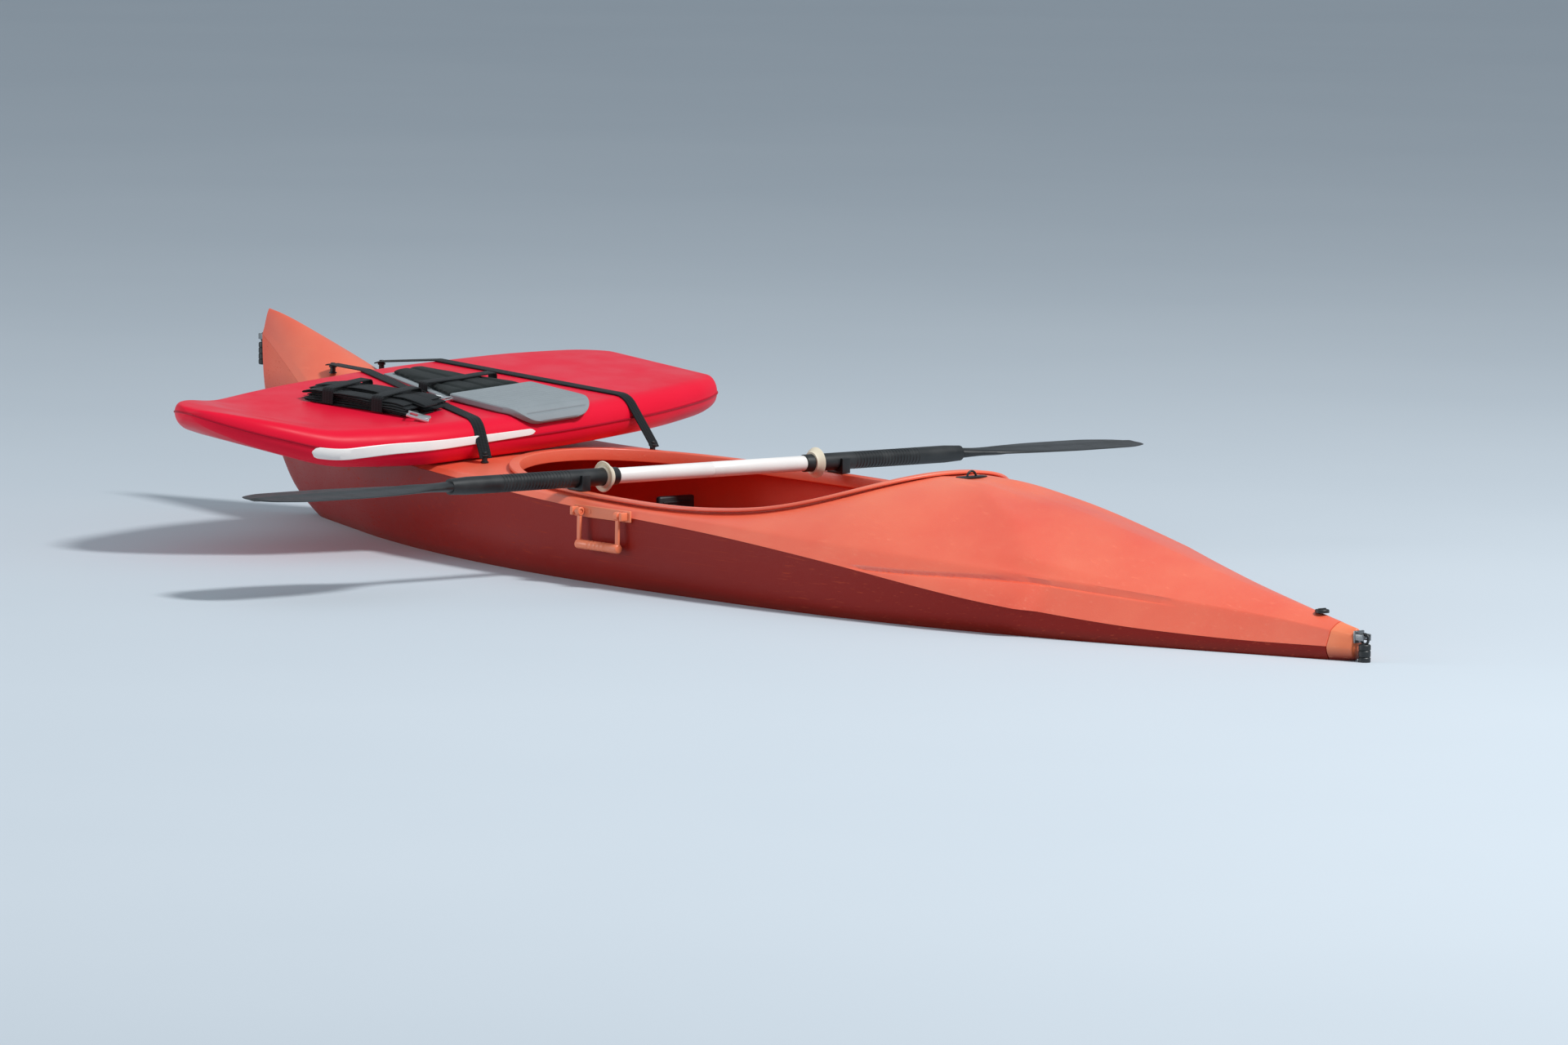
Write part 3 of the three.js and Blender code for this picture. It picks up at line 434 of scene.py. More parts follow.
ORANGE = ("#E4553A", "#EE7A58")
orange_hull = polyethylene("rotomoulded_polyethylene_orange", *ORANGE, shine=1.0)
# The lower moulding takes a shaded copy of the same orange: painted shade in deep red over its side, and
# less shine.
painted_shade_orange = polyethylene("rotomoulded_polyethylene_stained", *ORANGE, "#8E1609", shine=0.22)
inner_orange = polyethylene("rotomoulded_polyethylene_inside", "#D8432A", "#E0583A", None, 0.5, -0.2)
across = spaced(-1, 1, HULL_STEPS["across"])
hull_rings = rings_on(hull_point, STERN_CUT, HULL_LENGTH, HULL_STEPS["along"], across)
hull = new_object(loft(hull_rings), "hull_moulding", painted_shade_orange)
well_rings = rings_on(well_point, *WELL, WELL_STEPS["along"], spaced(-1, 1, WELL_STEPS["round"]))
well = new_object(loft(well_rings), "well", inner_orange)
carve(hull, well)
finish_piece(hull, "hull", "hull_orange", "hull_lower")

# Deck: the upper moulding, with the hump behind the cockpit and the upturned bow, moulded like the
# hull and joined to it at the seam. The cockpit is cut out of it.
COCKPIT = {"centre": 1640, "aft": 555, "fore": 590, "half": 330, "power": 2 / 2.3}
HATCH = {"low": 0, "high": 400, "points": 128}
DECK_STEPS = {"along": 260, "across": 120, "side": 22}
SEAM_GAP = 0.4
EDGE_ROUND = 0.02
# The ledge along the deck's side: a groove that climbs from the seam to the deck's edge, and a
# shelf below it that stands out over the seam. The shelf rises in a step between the first two
# places of its run, and sinks back from the third to the groove's end. A row of the line is a
# place along the hull and the groove's height there, from 0 at the deck's edge to 1 at the seam.
LEDGE_LINE = ((340, 0.10), (570, 0.14), (730, 0.34), (860, 0.62), (1000, 0.95))
LEDGE = {"deep": 4.5, "half": 0.10, "from": 330, "to": 1000, "fade": 50, "shelf": 16, "swell": 6}
SHELF_RUN = (575, 615, 660)
# How the groove sinks: this much inwards and down for each millimetre of its depth.
SINK = (0.8, 0.6)
# The soft crease where the hump's flank turns into the stern deck: how far out it is, as a share
# of the way to the deck's edge, and its place along the hull there.
CREASE_LINE = ((0.10, 955), (0.14, 950), (0.46, 790), (0.70, 700), (0.94, 620))
CREASE = {"high": 9.0, "wide": 75, "soft": 26, "inner": 0.02, "outer": 0.98}
CREASE_ENDS = {"inner": 0.12, "outer": -0.15}


def opening_point(turn):
    """A point of the cockpit's outline: its x and its place along the hull."""
    across = math.copysign(abs(math.cos(turn)) ** COCKPIT["power"], math.cos(turn))
    along = math.copysign(abs(math.sin(turn)) ** COCKPIT["power"], math.sin(turn))
    at = COCKPIT["centre"] + along * (COCKPIT["fore"] if along > 0 else COCKPIT["aft"])
    return COCKPIT["half"] * across, at


def ramp(value, start, end):
    """From 0 at start to 1 at end, with soft ends."""
    t = min(max((value - start) / (end - start), 0), 1)
    return t * t * (3 - 2 * t)


def moulded_deck(at, across):
    """The deck with its rounded edge, its ledges and the crease behind its hump."""
    reach_out = abs(across)
    side = math.copysign(1, across)
    x, z = deck_point(at, across)
    if abs(reach_out - EDGE_SHARE) < EDGE_ROUND:
        pull = (EDGE_ROUND - abs(reach_out - EDGE_SHARE)) / 2
        ends = [deck_point(at, side * (reach_out + d)) for d in (-pull, pull)]
        x, z = (ends[0] + ends[1]) / 2
    z += SEAM_GAP
    if reach_out > EDGE_SHARE:
        t = (reach_out - EDGE_SHARE) / (1 - EDGE_SHARE)
        line = curve(LEDGE_LINE, at)
        run = ramp(at, LEDGE["from"], LEDGE["from"] + LEDGE["fade"])
        run *= ramp(at, LEDGE["to"], LEDGE["to"] - LEDGE["fade"])
        dip = LEDGE["deep"] * run * max(1 - ((t - line) / LEDGE["half"]) ** 2, 0)
        below = min(max((t - line) / max(1 - line, 0.05), 0), 1)
        run = ramp(at, *SHELF_RUN[:2]) * ramp(at, LEDGE["to"], SHELF_RUN[2])
        shelf = LEDGE["shelf"] * run * below
        swell = LEDGE["swell"] * run * math.sin(math.pi * below)
        return Vector((x + side * (shelf - SINK[0] * dip), z + swell - SINK[1] * dip))
    share = reach_out / EDGE_SHARE
    off = math.hypot(at - curve(CREASE_LINE, share), CREASE["soft"]) - CREASE["soft"]
    inner, outer = (
        ramp(share, CREASE[end], CREASE[end] + CREASE_ENDS[end]) for end in ("inner", "outer")
    )
    return Vector((x, z + CREASE["high"] * inner * outer * math.exp(-off / CREASE["wide"])))


band = spaced(EDGE_SHARE + EDGE_ROUND, 1, DECK_STEPS["side"])
top = spaced(-band[0], band[0], DECK_STEPS["across"])[1:-1]
shares = [-s for s in reversed(band)] + top + band
deck_rings = rings_on(moulded_deck, STERN_CUT, HULL_LENGTH, DECK_STEPS["along"], shares)
deck = new_object(loft(deck_rings), "deck_moulding", orange_hull)
turns = spaced(0, 2 * math.pi, HATCH["points"])[:-1]
levels = (HATCH["low"], HATCH["high"])
hatch_rings = [[place(*opening_point(turn), z) for turn in turns] for z in levels]
hatch = new_object(loft(hatch_rings), "hatch", orange_hull)
carve(deck, well, hatch)
bpy.data.objects.remove(well)
bpy.data.objects.remove(hatch)
finish_piece(deck, "hull", "hull_orange", "deck_upper")

# Coaming: the cockpit's lip, a flange that lines the opening and turns out over the deck, moulded
# in the same orange. Its section is carried round the opening and its edges are rounded.
RIM_SECTION = ((-8, -14), (-0.4, -14), (-0.4, 4), (13, 4), (13, 10), (-8, 10))
RIM_POINTS = 160
RIM_ROUND = 2.2


def round_edges(bm, radius, segments=3, angle=30):
    """Rounds the edges whose faces meet at more than an angle."""
    sharp = [e for e in bm.edges if e.is_manifold and e.calc_face_angle() > math.radians(angle)]
    bmesh.ops.bevel(
        bm, geom=sharp, offset=radius * MM, offset_type="OFFSET", affect="EDGES",
        segments=segments, profile=0.5, material=-1, clamp_overlap=True,
    )


rings = []
for k in range(RIM_POINTS):
    before, here, after = (opening_point(2 * math.pi * (k + d) / RIM_POINTS) for d in (-1, 0, 1))
    ahead = (place(*after, 0) - place(*before, 0)).normalized()
    out = Vector((-ahead.y, ahead.x, 0))
    on_deck = place(*here, deck_height(here[1], here[0]))
    rings.append([on_deck + (out * o + Vector((0, 0, up))) * MM for o, up in RIM_SECTION])
bm = loft(rings + rings[:1])
round_edges(bm, RIM_ROUND)
finish_piece(new_object(bm, "coaming", orange_hull), "hull", "hull_orange", "coaming_rim")

# Stern cap: a separate moulding that closes the tip, of the hull's polyethylene but paler, because
# the sun has faded it, and with rounded edges.
CAP = {"gap": 0.4, "along": 8, "round": 96, "edge": 3}

faded_orange = polyethylene("sun_faded_polyethylene", "#EA7448", "#F29C76", None, 0.6)
around = spaced(-1, 1, CAP["round"])
bm = loft(rings_on(whole_point, 0, STERN_CUT - CAP["gap"], CAP["along"], around))
round_edges(bm, CAP["edge"], 4, 50)
finish_piece(new_object(bm, "end_cap", faded_orange), "hull", "cap_orange", "stern_cap")

# Deck fittings: a drain plug with a turning grip, screwed in ahead of the cap, and a low pad eye
# with a wire bow on the top of the hump, both moulded from black nylon.
PLUG = {"radius": 13, "dome": 2.5, "grip": (18, 4, 4)}
PAD_EYE = {"at": 1035, "size": (62, 20, 4), "bow": 11, "wire": 2.2}
ALONG_X = Matrix.Rotation(math.pi / 2, 4, "Y")
ALONG_Y = Matrix.Rotation(-math.pi / 2, 4, "X")


def moulded_plastic(name, colour, rough=0.5, grains_per_m=900):
    """Injection-moulded plastic: an even satin with the mould's spark grain, about 1 mm across
    unless it is finer, and a little dust that dulls it."""
    material, add, spot = new_material(name)
    grain = add("TexVoronoi", "Distance", {"Vector": spot, "Scale": grains_per_m}, feature="F1")
    dust = add("TexNoise", "Fac", {"Vector": spot, "Scale": 24, "Detail": 5})
    dusty = add("MapRange", "Result", {"Value": dust, "From Min": 0.45, "From Max": 0.75, "To Max": 0.07})
    tone = add("MixRGB", "Color", {"Fac": dusty, "Color1": srgb(colour), "Color2": srgb("#7C7F7E")})
    dull = add("Math", "Value", {0: dusty, 1: 2.0, 2: rough - 0.08}, operation="MULTIPLY_ADD")
    bump = add("Bump", "Normal", {"Height": grain, "Strength": 0.25, "Distance": 0.0004})
    return finish_material(material, {"Base Color": tone, "Roughness": dull, "Normal": bump, "IOR": 1.53})


def join_into(bm, other):
    """Adds another bmesh to this one, and frees it."""
    mesh = bpy.data.meshes.new("part")
    other.to_mesh(mesh)
    other.free()
    bm.from_mesh(mesh)
    bpy.data.meshes.remove(mesh)


def moved(x, y, z):
    """A move in millimetres."""
    return Matrix.Translation(Vector((x, y, z)) * MM)


def add_block(bm, size, matrix, radius=1, segments=2):
    """Adds a block of a size in millimetres, with rounded edges."""
    block = bmesh.new()
    bmesh.ops.create_cube(block, size=MM)
    bmesh.ops.scale(block, vec=size, verts=block.verts)
    round_edges(block, radius, segments)
    block.transform(matrix)
    join_into(bm, block)


def arc(cx, cy, radius, start, end, steps=5):
    """Points on an arc about a centre, from one angle to another in degrees."""
    turns = [math.radians(t) for t in spaced(start, end, steps)]
    return [(cx + radius * math.cos(t), cy + radius * math.sin(t)) for t in turns]


def circle(radius, points=12):
    """Points round a circle, as a wire's section."""
    return arc(0, 0, radius, 0, 360, points)[:-1]


def add_turned(bm, profile, matrix, steps=48):
    """Adds a turned form: its profile's (radius, height) points in millimetres, spun about Z."""
    turned = bmesh.new()
    points = [turned.verts.new((r * MM, 0, h * MM)) for r, h in profile]
    edges = [turned.edges.new(pair) for pair in zip(points, points[1:])]
    bmesh.ops.spin(
        turned, geom=points + edges, cent=(0, 0, 0), axis=(0, 0, 1),
        angle=2 * math.pi, steps=steps, use_merge=True,
    )
    bmesh.ops.remove_doubles(turned, verts=turned.verts, dist=1e-6)
    bmesh.ops.recalc_face_normals(turned, faces=turned.faces)
    turned.transform(matrix)
    join_into(bm, turned)


def add_rod(bm, radius, length, matrix, edge=1):
    """Adds a rod about the middle of its axis, with rounded ends."""
    half = length / 2
    low = arc(radius - edge, edge - half, edge, -90, 0, 3)
    high = arc(radius - edge, half - edge, edge, 0, 90, 3)
    add_turned(bm, [(0, -half), *low, *high, (0, half)], matrix)


def sweep(route, section, side, closed=False):
    """Carries a section of (across, above) millimetres along a route of points in metres. Side
    is the direction of across where the route lies flat, and is never along the route."""
    rings = []
    for k, spot in enumerate(route):
        before = route[k - 1] if k or closed else spot
        after = route[(k + 1) % len(route)] if closed or k + 1 < len(route) else spot
        above = Vector(side).cross(after - before).normalized()
        across = (after - before).normalized().cross(above)
        rings.append([spot + (across * a + above * b) * MM for a, b in section])
    made = loft(rings + rings[:1] if closed else rings)
    lengths = [0]
    for one, two in zip(route, route[1:]):
        lengths.append(lengths[-1] + (two - one).length)
    order = made.verts.layers.float_vector["weave"]
    for v in made.verts:
        v[order] = (lengths[round(v[order].x) % len(route)], section[round(v[order].y)][0] * MM, 0)
    return made


black_nylon = moulded_plastic("moulded_nylon_black", "#14181A")
low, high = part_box("drain_plug")
foot = Matrix.Translation(((low.x + high.x) / 2, (low.y + high.y) / 2, low.z))
thick = (high.z - low.z) / MM
edge = arc(PLUG["radius"] - PLUG["dome"], thick - PLUG["dome"], PLUG["dome"], 0, 90)
bm = bmesh.new()
add_turned(bm, [(0, 0), (PLUG["radius"], 0), *edge, (0, thick)], foot)
add_block(bm, PLUG["grip"], foot @ moved(0, 0, thick))
finish_piece(new_object(bm, "drain_plug_turned", black_nylon), "hull", "black_plastic", "drain_plug")

width, depth, thick = PAD_EYE["size"]
top = place(0, PAD_EYE["at"], deck_height(PAD_EYE["at"] + depth / 2, 0) + SEAM_GAP + thick / 2)
bm = bmesh.new()
add_block(bm, PAD_EYE["size"], Matrix.Translation(top), 1.5)
route = [top + Vector((x, 0, z)) * MM for x, z in arc(0, 0, PAD_EYE["bow"], 0, 180, 16)]
join_into(bm, sweep(route, circle(PAD_EYE["wire"]), (0, 1, 0)))
finish_piece(new_object(bm, "hump_pad_eye", black_nylon), "hull", "black_plastic")

# Seat: a moulded pan on the hull's floor with an ear on each side, where the backrest's pins turn,
# and a cushion of foam in woven nylon, with two sewn channels and a piped edge, that lies in it.
CUSHION = {"shrink": 6, "cap": 6, "channels": (-62, 62), "half": 9, "deep": 6}
PIPING = {"radius": 2.4, "corner": 58, "inset": 2, "up": 6}
THREAD = 2.2
VOXEL = 0.005
CLOTH_FRAMES = 20
SMOOTHINGS = 6


def cad_copy(node):
    """A CAD node's solid, its points merged and its flat faces made whole."""
    bm = bmesh.new()
    bm.from_mesh(frame["nodes"][node].data)
    bmesh.ops.remove_doubles(bm, verts=bm.verts, dist=1e-5)
    bmesh.ops.dissolve_limit(bm, angle_limit=math.radians(0.5), verts=bm.verts, edges=bm.edges)
    return bm


def rounded_copy(node, material, slot, radius, segments=2):
    """A piece that keeps a CAD node's form and rounds its edges."""
    bm = cad_copy(node)
    round_edges(bm, radius, segments)
    made = new_object(bm, node + "_moulded", material)
    return finish_piece(made, frame["nodes"][node]["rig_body"], slot, node)


def woven_nylon(name, colour, faded):
    """Woven nylon over foam: two sets of threads, drawn coarse so that they show, with a dry
    sheen and slight fading."""
    material, add, spot = new_material(name)
    scale = 2 * math.pi / (20 * THREAD * MM)
    warp = add("TexWave", "Fac", {"Vector": spot, "Scale": scale}, bands_direction="X")
    weft = add("TexWave", "Fac", {"Vector": spot, "Scale": scale}, bands_direction="Y")
    cloth = add("Math", "Value", {0: warp, 1: weft}, operation="MULTIPLY")
    fade = add("TexNoise", "Fac", {"Vector": spot, "Scale": 9, "Detail": 4})
    tone = add("MixRGB", "Color", {"Fac": fade, "Color1": srgb(colour), "Color2": srgb(faded)})
    dim = add("MapRange", "Result", {"Value": cloth, "To Min": 0.7, "To Max": 1.1})
    threads = add("MixRGB", "Color", {"Fac": 1.0, "Color1": tone, "Color2": dim}, blend_type="MULTIPLY")
    bump = add("Bump", "Normal", {"Height": cloth, "Strength": 0.5, "Distance": 0.0006})
    surface = {"Base Color": threads, "Normal": bump, "Roughness": 0.82, "Specular IOR Level": 0.15}
    return finish_material(material, surface | {"Sheen Weight": 0.1, "Sheen Roughness": 0.4})


def puffed(made, cap):
    """Stuffs a closed shape: remeshes it, blows it up as cloth, caps how far it swells and
    smooths away the steps that remeshing leaves along slanted edges."""
    remesh = made.modifiers.new("remesh", "REMESH")
    remesh.mode = "VOXEL"
    remesh.voxel_size = VOXEL
    bake(made)
    start = [v.co.copy() for v in made.data.vertices]
    cloth = made.modifiers.new("cloth", "CLOTH")
    cloth.settings.quality = 4
    cloth.settings.use_pressure = True
    cloth.settings.uniform_pressure_force = 4
    cloth.settings.effector_weights.gravity = 0
    cloth.point_cache.frame_end = CLOTH_FRAMES
    for k in range(1, CLOTH_FRAMES + 1):
        bpy.context.scene.frame_set(k)
    bake(made)
    bpy.context.scene.frame_set(1)
    for v, was in zip(made.data.vertices, start):
        swollen = v.co - was
        if swollen.length > cap * MM:
            v.co = was + swollen.normalized() * cap * MM
    bm = bmesh.new()
    bm.from_mesh(made.data)
    for _ in range(SMOOTHINGS):
        bmesh.ops.smooth_vert(
            bm, verts=bm.verts, factor=0.5, use_axis_x=True, use_axis_y=True, use_axis_z=True
        )
    bm.to_mesh(made.data)
    bm.free()
    made.data.shade_smooth()
    return made


def smoothed(made):
    """Adds the one subdivision that a padded piece keeps."""
    smooth = made.modifiers.new("smooth", "SUBSURF")
    smooth.levels = smooth.render_levels = 1
    return made


dark_nylon = woven_nylon("woven_nylon_charcoal", "#1B2223", "#29302F")
rounded_copy("seat_pan", black_nylon, "black_plastic", 4, 3)
low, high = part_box("seat_cushion")
centre = (low + high) / 2
half = (high - low) / 2
bm = cad_copy("seat_cushion")
shrink = CUSHION["shrink"] * MM
smaller = (1 - shrink / half.x, 1 - shrink / half.y, 1 - 0.8 * shrink / half.z)
bmesh.ops.scale(bm, vec=smaller, space=Matrix.Translation(-centre), verts=bm.verts)
cushion = puffed(new_object(bm, "seat_pad", dark_nylon), CUSHION["cap"])
for v in cushion.data.vertices:
    v.co.z = max(v.co.z, low.z + 0.0002)
    if v.co.z > centre.z:
        near = min(abs(v.co.x / MM - x) for x in CUSHION["channels"]) / CUSHION["half"]
        v.co.z -= CUSHION["deep"] * MM * max(1 - near**2, 0)
finish_piece(smoothed(cushion), "hull", "dark_cloth", "seat_cushion")

route = []
corner = PIPING["corner"]
for x, y, start in ((1, 1, 0), (-1, 1, 90), (-1, -1, 180), (1, -1, 270)):
    cx = x * (half.x / MM - corner - PIPING["inset"])
    cy = y * (half.y / MM - corner - PIPING["inset"])
    turn = arc(cx, cy, corner, start, start + 90, 8)
    route += [centre + Vector((px, py, PIPING["up"])) * MM for px, py in turn]
bm = sweep(route, circle(PIPING["radius"], 8), (0, 0, 1), closed=True)
finish_piece(new_object(bm, "seat_pad_piping", black_nylon), "hull", "black_plastic")

# Backrest: a foam panel in the same cloth on a steel rod, narrower towards its top, with sewn
# channels across it. It leans back 12 degrees and folds forward over the seat.
BACK = {"pivot": (0, 414, 6), "lean": 12, "thick": 20, "shrink": 5, "cap": 5, "pin": 5}
BACK_OUTLINE = ((172, -8), (172, 70), (120, 150), (90, 160))
BACK_CHANNELS = {"heights": (42, 92), "half": 8, "deep": 5, "ends": (165, 140)}


def brushed_steel(name, colour):
    """Brushed stainless steel: fine lines across the boat that vary its gloss."""
    material, add, spot = new_material(name)
    lined = add("Mapping", "Vector", {"Vector": spot, "Scale": (60, 2400, 2400)})
    lines = add("TexNoise", "Fac", {"Vector": lined, "Scale": 1, "Detail": 3})
    span = {"Value": lines, "From Min": 0.3, "From Max": 0.7, "To Min": 0.3, "To Max": 0.46}
    rough = add("MapRange", "Result", span)
    bump = add("Bump", "Normal", {"Height": lines, "Strength": 0.2, "Distance": 0.0001})
    surface = {"Base Color": srgb(colour), "Metallic": 1, "Roughness": rough, "Normal": bump}
    return finish_material(material, surface)


stainless = brushed_steel("brushed_stainless_steel", "#8F9294")
outline = [(x - BACK["shrink"], z) for x, z in BACK_OUTLINE]
outline += [(-x, z) for x, z in reversed(outline)]
half = BACK["thick"] / 2
rings = [[Vector((x, y, z)) * MM for x, z in outline] for y in (-half, half)]
panel = puffed(new_object(loft(rings), "backrest_panel", dark_nylon), BACK["cap"])
for v in panel.data.vertices:
    near = min(abs(v.co.z / MM - z) for z in BACK_CHANNELS["heights"]) / BACK_CHANNELS["half"]
    inside = ramp(abs(v.co.x) / MM, *BACK_CHANNELS["ends"])
    v.co.y -= math.copysign(BACK_CHANNELS["deep"] * MM * max(1 - near**2, 0) * inside, v.co.y)
pivot = moved(*BACK["pivot"])
panel.data.transform(pivot @ Matrix.Rotation(math.radians(-BACK["lean"]), 4, "X"))
finish_piece(smoothed(panel), "backrest", "dark_cloth", "backrest")
bm = bmesh.new()
add_rod(bm, BACK["pin"], 2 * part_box("backrest")[1].x / MM, pivot @ ALONG_X)
finish_piece(new_object(bm, "backrest_rod", stainless), "backrest", "steel")

# Foot rests: a toothed nylon rail along the inside of the hull on each side, and a ribbed pedal
# that hooks into it; and the foam pillar that holds the foredeck up, cut from closed-cell foam.
TEETH = {"from": 2012, "to": 2290, "count": 16, "size": (4, 9, 22), "slant": 14, "inset": 14.5}
SIDES = {"port": 1, "starboard": -1}
RIBS = {"count": 6, "size": (74, 4, 3), "margin": 12, "proud": 1}


def closed_cell_foam(name, colour, faded):
    """Closed-cell foam: a dry, matte skin pitted with cells about 1.7 mm across."""
    material, add, spot = new_material(name)
    cells = add("TexVoronoi", "Distance", {"Vector": spot, "Scale": 600}, feature="F1")
    mottle = add("TexNoise", "Fac", {"Vector": spot, "Scale": 14, "Detail": 5})
    tone = add("MixRGB", "Color", {"Fac": mottle, "Color1": srgb(colour), "Color2": srgb(faded)})
    bump = add("Bump", "Normal", {"Height": cells, "Strength": 0.45, "Distance": 0.0006})
    return finish_material(material, {"Base Color": tone, "Normal": bump, "Roughness": 0.86})


for side_name, side in SIDES.items():
    rounded_copy(f"foot_rail_{side_name}", black_nylon, "black_plastic", 3)
    rounded_copy(f"foot_peg_{side_name}", black_nylon, "black_plastic", 4)
    low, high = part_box(f"foot_rail_{side_name}")
    outer, inner = (high.x, low.x) if side > 0 else (low.x, high.x)
    bm = bmesh.new()
    for at in spaced(TEETH["from"], TEETH["to"], TEETH["count"]):
        share = (at - TEETH["from"]) / (TEETH["to"] - TEETH["from"])
        wall = (outer + (inner + side * TEETH["slant"] * MM - outer) * share) / MM
        spot = moved(wall - side * TEETH["inset"], HULL_LENGTH / 2 - at, (low.z + high.z) / 2 / MM)
        add_block(bm, TEETH["size"], spot, 0.8, 1)
    finish_piece(new_object(bm, f"foot_rail_teeth_{side_name}", black_nylon), "hull", "black_plastic")
    low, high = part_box(f"foot_peg_{side_name}")
    middle = (low + high) / 2
    bm = bmesh.new()
    for z in spaced(low.z / MM + RIBS["margin"], high.z / MM - RIBS["margin"], RIBS["count"]):
        add_block(bm, RIBS["size"], moved(middle.x / MM, high.y / MM + RIBS["proud"], z), 1)
    finish_piece(new_object(bm, f"foot_peg_ribs_{side_name}", black_nylon), "hull", "black_plastic")
pillar_foam = closed_cell_foam("closed_cell_foam_black", "#1E2022", "#2C2F31")
rounded_copy("foam_pillar", pillar_foam, "black_foam", 4)

# Toggles: at each end of the hull a steel eye, a plate with two lugs, two screws and a pin, and on
# the pin a ring with a grooved grip, moulded in one from black nylon, that swings.
EYE = {"plate": (24, 4, 22), "lug": (4, 23, 12), "apart": 9, "screws": (7.2, 8.3)}
EYE_OUT = {"plate": 2.4, "lug": 11.9, "screw": 4.6}
TOGGLE = {"pin": (3, 20), "ring": 9, "wire": 2.5, "out": 18, "hang": 3.1, "radius": 11, "length": 46}
TOGGLE_AT = {"stern": (1600, 44, 1), "bow": (-1600, 350, -1)}
GRIP_GROOVES = (-12, 0, 12)


def grooved(radius, half, grooves, wide=1.6, deep=1.2, edge=3):
    """A grip's profile: a rod's half section with rounded ends and grooves round it."""
    profile = [(0, -half), *arc(radius - edge, edge - half, edge, -90, 0, 4)]
    for h in grooves:
        profile += [(radius, h - wide), (radius - deep, h), (radius, h + wide)]
    return profile + [*arc(radius - edge, half - edge, edge, 0, 90, 4), (0, half)]


for end, (y, z, out) in TOGGLE_AT.items():
    bm = bmesh.new()
    add_block(bm, EYE["plate"], moved(0, y + out * EYE_OUT["plate"], z))
    for end_side in (-1, 1):
        lug = moved(end_side * EYE["apart"], y + out * EYE_OUT["lug"], z)
        add_block(bm, EYE["lug"], lug, 1.4, 3)
        across, up = (end_side * d for d in EYE["screws"])
        add_rod(bm, 2.4, 1.6, moved(across, y + out * EYE_OUT["screw"], z + up) @ ALONG_Y, 0.6)
    pin = moved(0, y + out * TOGGLE["out"], z)
    add_rod(bm, *TOGGLE["pin"], pin @ ALONG_X)
    finish_piece(new_object(bm, f"{end}_eye_bracket", stainless), "hull", "steel", f"{end}_eye")
    bm = bmesh.new()
    grip_z = -TOGGLE["hang"] - TOGGLE["ring"] - TOGGLE["length"] / 2
    ring = arc(0, -TOGGLE["hang"], TOGGLE["ring"], 0, 360, 24)[:-1]
    route = [pin @ (Vector((0, ry, rz)) * MM) for ry, rz in ring]
    join_into(bm, sweep(route, circle(TOGGLE["wire"]), (1, 0, 0), closed=True))
    profile = grooved(TOGGLE["radius"], TOGGLE["length"] / 2, GRIP_GROOVES)
    add_turned(bm, profile, pin @ moved(0, 0, grip_z))
    toggle = new_object(bm, f"{end}_toggle_grip", black_nylon)
    finish_piece(toggle, f"{end}_toggle", "black_plastic", f"{end}_toggle")

# Carry handles: on each side of the cockpit a bracket with two lugs and pins, and a moulded handle
# that hangs from them by its arms and swings up, both in pale orange nylon.
HANDLE = {"pivot": 383.4, "hull": 370.4, "y": -60, "z": 140, "drop": 62, "arm": 57}
HANDLE_GRIP = {"radius": 9, "half": 62, "grooves": (-24, -12, 0, 12, 24), "wide": 2.5, "deep": 1}
BRACKET = {"plate": (5, 166, 22), "lug": (21, 8, 16), "lug_at": 73, "pin": (4, 20), "pin_at": 63}
SCREW = {"at": (36, 62), "out": 2.8, "radius": 4, "length": 2}
EYE_BORE = ((4.6, -6), (4.6, 6), (7, 6), (8, 5), (8, -5), (7, -6), (4.6, -6))
ARM = {"size": (6, 10, 52), "down": 33}

pale_orange = moulded_plastic("moulded_nylon_orange", "#F0805A", 0.4)
for side_name, side in SIDES.items():
    plate_x = side * (HANDLE["hull"] + BRACKET["plate"][0] / 2)
    bm = bmesh.new()
    add_block(bm, BRACKET["plate"], moved(plate_x, HANDLE["y"], HANDLE["z"]), 1.6, 3)
    for end in (-1, 1):
        lug_x = side * (HANDLE["hull"] + BRACKET["lug"][0] / 2)
        lug = moved(lug_x, HANDLE["y"] + end * BRACKET["lug_at"], HANDLE["z"])
        add_block(bm, BRACKET["lug"], lug, 1.8, 3)
        pin_y = HANDLE["y"] + end * BRACKET["pin_at"]
        pin = moved(side * HANDLE["pivot"], pin_y, HANDLE["z"])
        add_rod(bm, *BRACKET["pin"], pin @ ALONG_Y)
        for y in SCREW["at"]:
            screw = moved(plate_x + side * SCREW["out"], HANDLE["y"] + end * y, HANDLE["z"])
            add_rod(bm, SCREW["radius"], SCREW["length"], screw @ ALONG_X, 0.8)
    bracket = new_object(bm, f"handle_bracket_{side_name}_plate", pale_orange)
    finish_piece(bracket, "hull", "hull_orange", f"handle_bracket_{side_name}")
    bm = bmesh.new()
    for end in (-1, 1):
        eye = moved(side * HANDLE["pivot"], HANDLE["y"] + end * HANDLE["arm"], HANDLE["z"])
        add_turned(bm, EYE_BORE, eye @ ALONG_Y)
        add_block(bm, ARM["size"], eye @ moved(0, 0, -ARM["down"]), 2, 3)
    grip = moved(side * HANDLE["pivot"], HANDLE["y"], HANDLE["z"] - HANDLE["drop"]) @ ALONG_Y
    add_turned(bm, grooved(**HANDLE_GRIP), grip)
    handle = new_object(bm, f"carry_handle_{side_name}_grip", pale_orange)
    finish_piece(handle, f"handle_{side_name}", "hull_orange", f"carry_handle_{side_name}")

